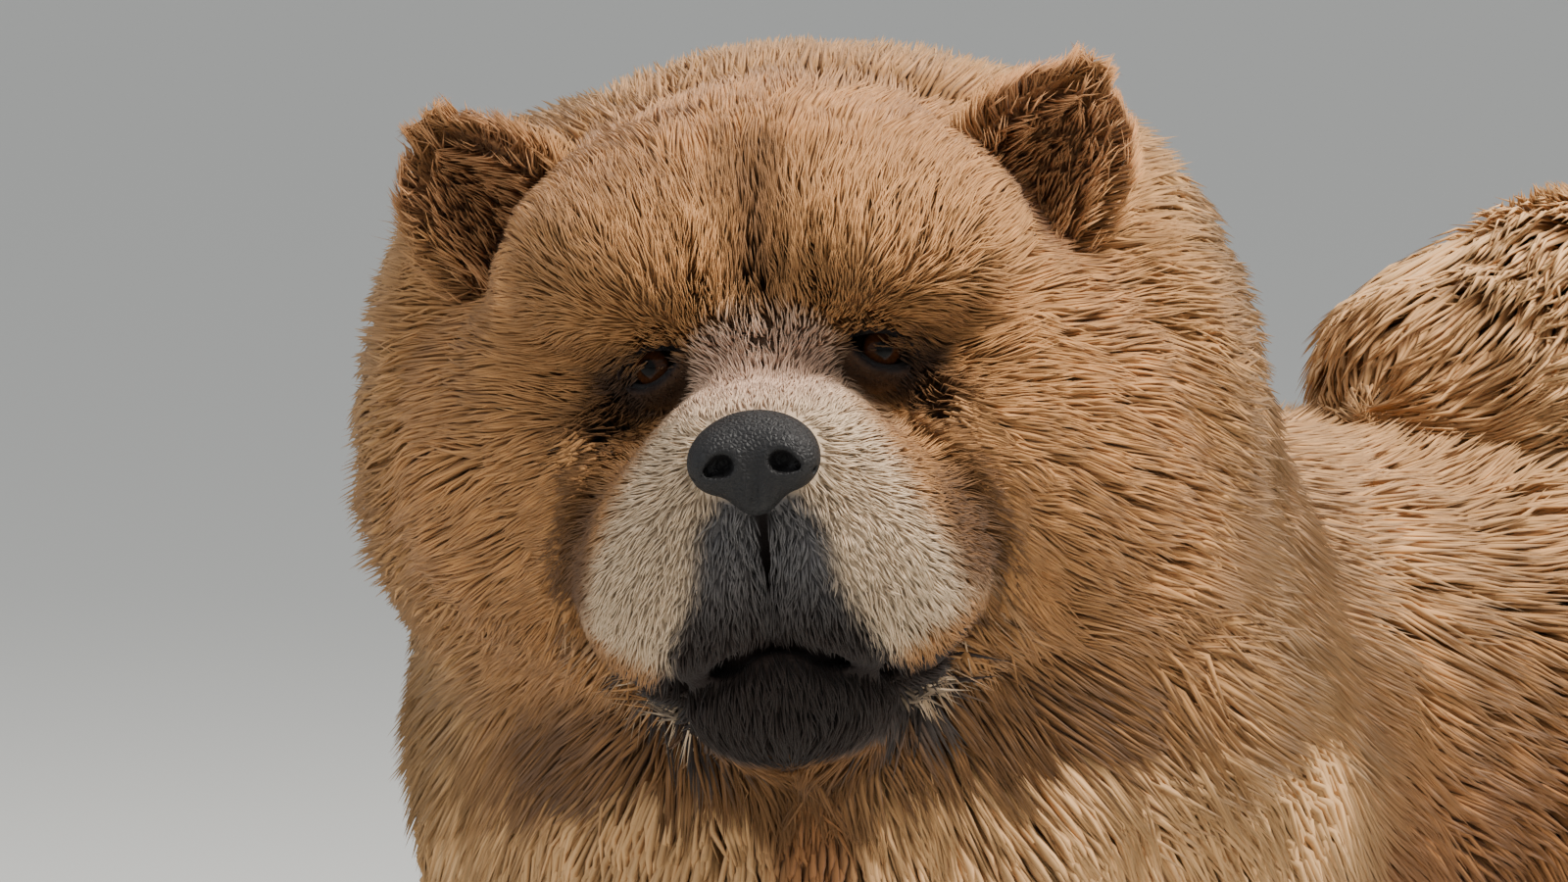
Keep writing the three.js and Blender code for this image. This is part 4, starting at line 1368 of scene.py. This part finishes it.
def claw_points(root):
    points = []
    for ring in range(CLAW_RINGS):
        t = ring / (CLAW_RINGS - 1)
        thick = CLAW_THICK * (1 - t * CLAW_TAPER)
        for k in range(CLAW_SIDES):
            turn = 2 * math.pi * k / CLAW_SIDES
            rise = math.sin(turn) * thick - CLAW_DROP * t * t
            points.append(root + [math.cos(turn) * thick * CLAW_FLAT, CLAW_SUNK - t * CLAW_LONG, rise])
    points.append(root + [0, CLAW_SUNK + 1, 0])
    points.append(root + [0, CLAW_SUNK - 1 - CLAW_LONG, -CLAW_DROP * 1.05])
    return np.array(points)


def claw_faces():
    walls = ring_faces(CLAW_RINGS, CLAW_SIDES)
    back = CLAW_RINGS * CLAW_SIDES
    faces = [*walls[:, [0, 1, 2]], *walls[:, [0, 2, 3]]]
    faces += [[back, b, a] for a, b in walls[:CLAW_SIDES, :2]]
    faces += [[back + 1, a, b] for b, a in walls[-CLAW_SIDES:, 2:]]
    return np.array(faces)[:, ::-1]


for end, heel in HEELS.items():
    for side, sign in SIDES.items():
        x, y, z = on_side(heel, sign)
        for number, across in enumerate(TOES, 1):
            root = np.array([x + across, y - toe_reach(across) - CLAW_AHEAD, z - CLAW_BELOW])
            name = f"{end}_{side}_{number}"
            made = mesh_object("claw_horn_" + name, to_scene(claw_points(root)), claw_faces())
            made.data.materials.append(horn.material)
            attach(made, "root")
            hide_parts("claw_" + name)

# Floor, light and camera
floor_finish = Finish("pale_floor", Roughness=0.9, Base_Color=colour(206, 206, 202))
FLOOR = 30
floor = mesh_object(
    "floor",
    np.array([[-FLOOR, -FLOOR, 0], [FLOOR, -FLOOR, 0], [FLOOR, FLOOR, 0], [-FLOOR, FLOOR, 0]], float),
    np.array([[0, 1, 2, 3]]),
)
floor.data.materials.append(floor_finish.material)

azimuth, elevation = math.radians(VIEW_AZIMUTH), math.radians(VIEW_ELEVATION)
toward_camera = Vector(
    (math.sin(azimuth) * math.cos(elevation), -math.cos(azimuth) * math.cos(elevation), math.sin(elevation))
)
image_right = Vector((math.cos(azimuth), math.sin(azimuth), 0))
image_up = toward_camera.cross(image_right)
nose_tip = Vector(to_scene(from_head(NOSE_IN_HEAD)))
across = (IMAGE_WIDE / 2 - NOSE_PIXEL[0]) / PIXELS_PER_MM * METRE
raised = (NOSE_PIXEL[1] - IMAGE_HIGH / 2) / PIXELS_PER_MM * METRE
camera_data = bpy.data.cameras.new("camera")
camera_data.sensor_width = SENSOR
camera_data.lens = SENSOR * CAMERA_AWAY * PIXELS_PER_MM / IMAGE_WIDE
camera = bpy.data.objects.new("camera", camera_data)
camera.location = nose_tip + toward_camera * CAMERA_AWAY * METRE + image_right * across + image_up * raised
camera.rotation_mode = "QUATERNION"
camera.rotation_quaternion = (-toward_camera).to_track_quat("-Z", "Y")
bpy.context.scene.collection.objects.link(camera)
bpy.context.scene.camera = camera


# Each light: how far it is toward the camera, to the right and up; its distance, size, power and tint
LIGHTS = {
    "key": ((0.35, 0.9, 1.25), 2.4, 0.8, 125, (1.0, 0.95, 0.88)),
    "fill": ((0.5, -1.0, 0.5), 3.0, 0.6, 24, (0.92, 0.96, 1.0)),
    "back": ((-0.9, 0.2, 1.0), 2.6, 1.2, 46, (1.0, 0.97, 0.92)),
}
ROOM_TINT, ROOM_STRENGTH = (0.96, 0.98, 1.0, 1.0), 0.62


def soft_light(name, place, away, size, power, tint):
    lamp = bpy.data.lights.new(name, "AREA")
    lamp.size = size
    lamp.energy = power
    lamp.color = tint
    forward, right, up = place
    direction = (toward_camera * forward + image_right * right + image_up * up).normalized()
    made = bpy.data.objects.new(name, lamp)
    made.location = nose_tip + direction * away
    made.rotation_mode = "QUATERNION"
    made.rotation_quaternion = (-direction).to_track_quat("-Z", "Y")
    bpy.context.scene.collection.objects.link(made)


for light_name, light in LIGHTS.items():
    soft_light(light_name, *light)
world = bpy.data.worlds.new("studio")
bpy.context.scene.world = world
world.use_nodes = True
room = world.node_tree.nodes["Background"].inputs
room["Color"].default_value = ROOM_TINT
room["Strength"].default_value = ROOM_STRENGTH
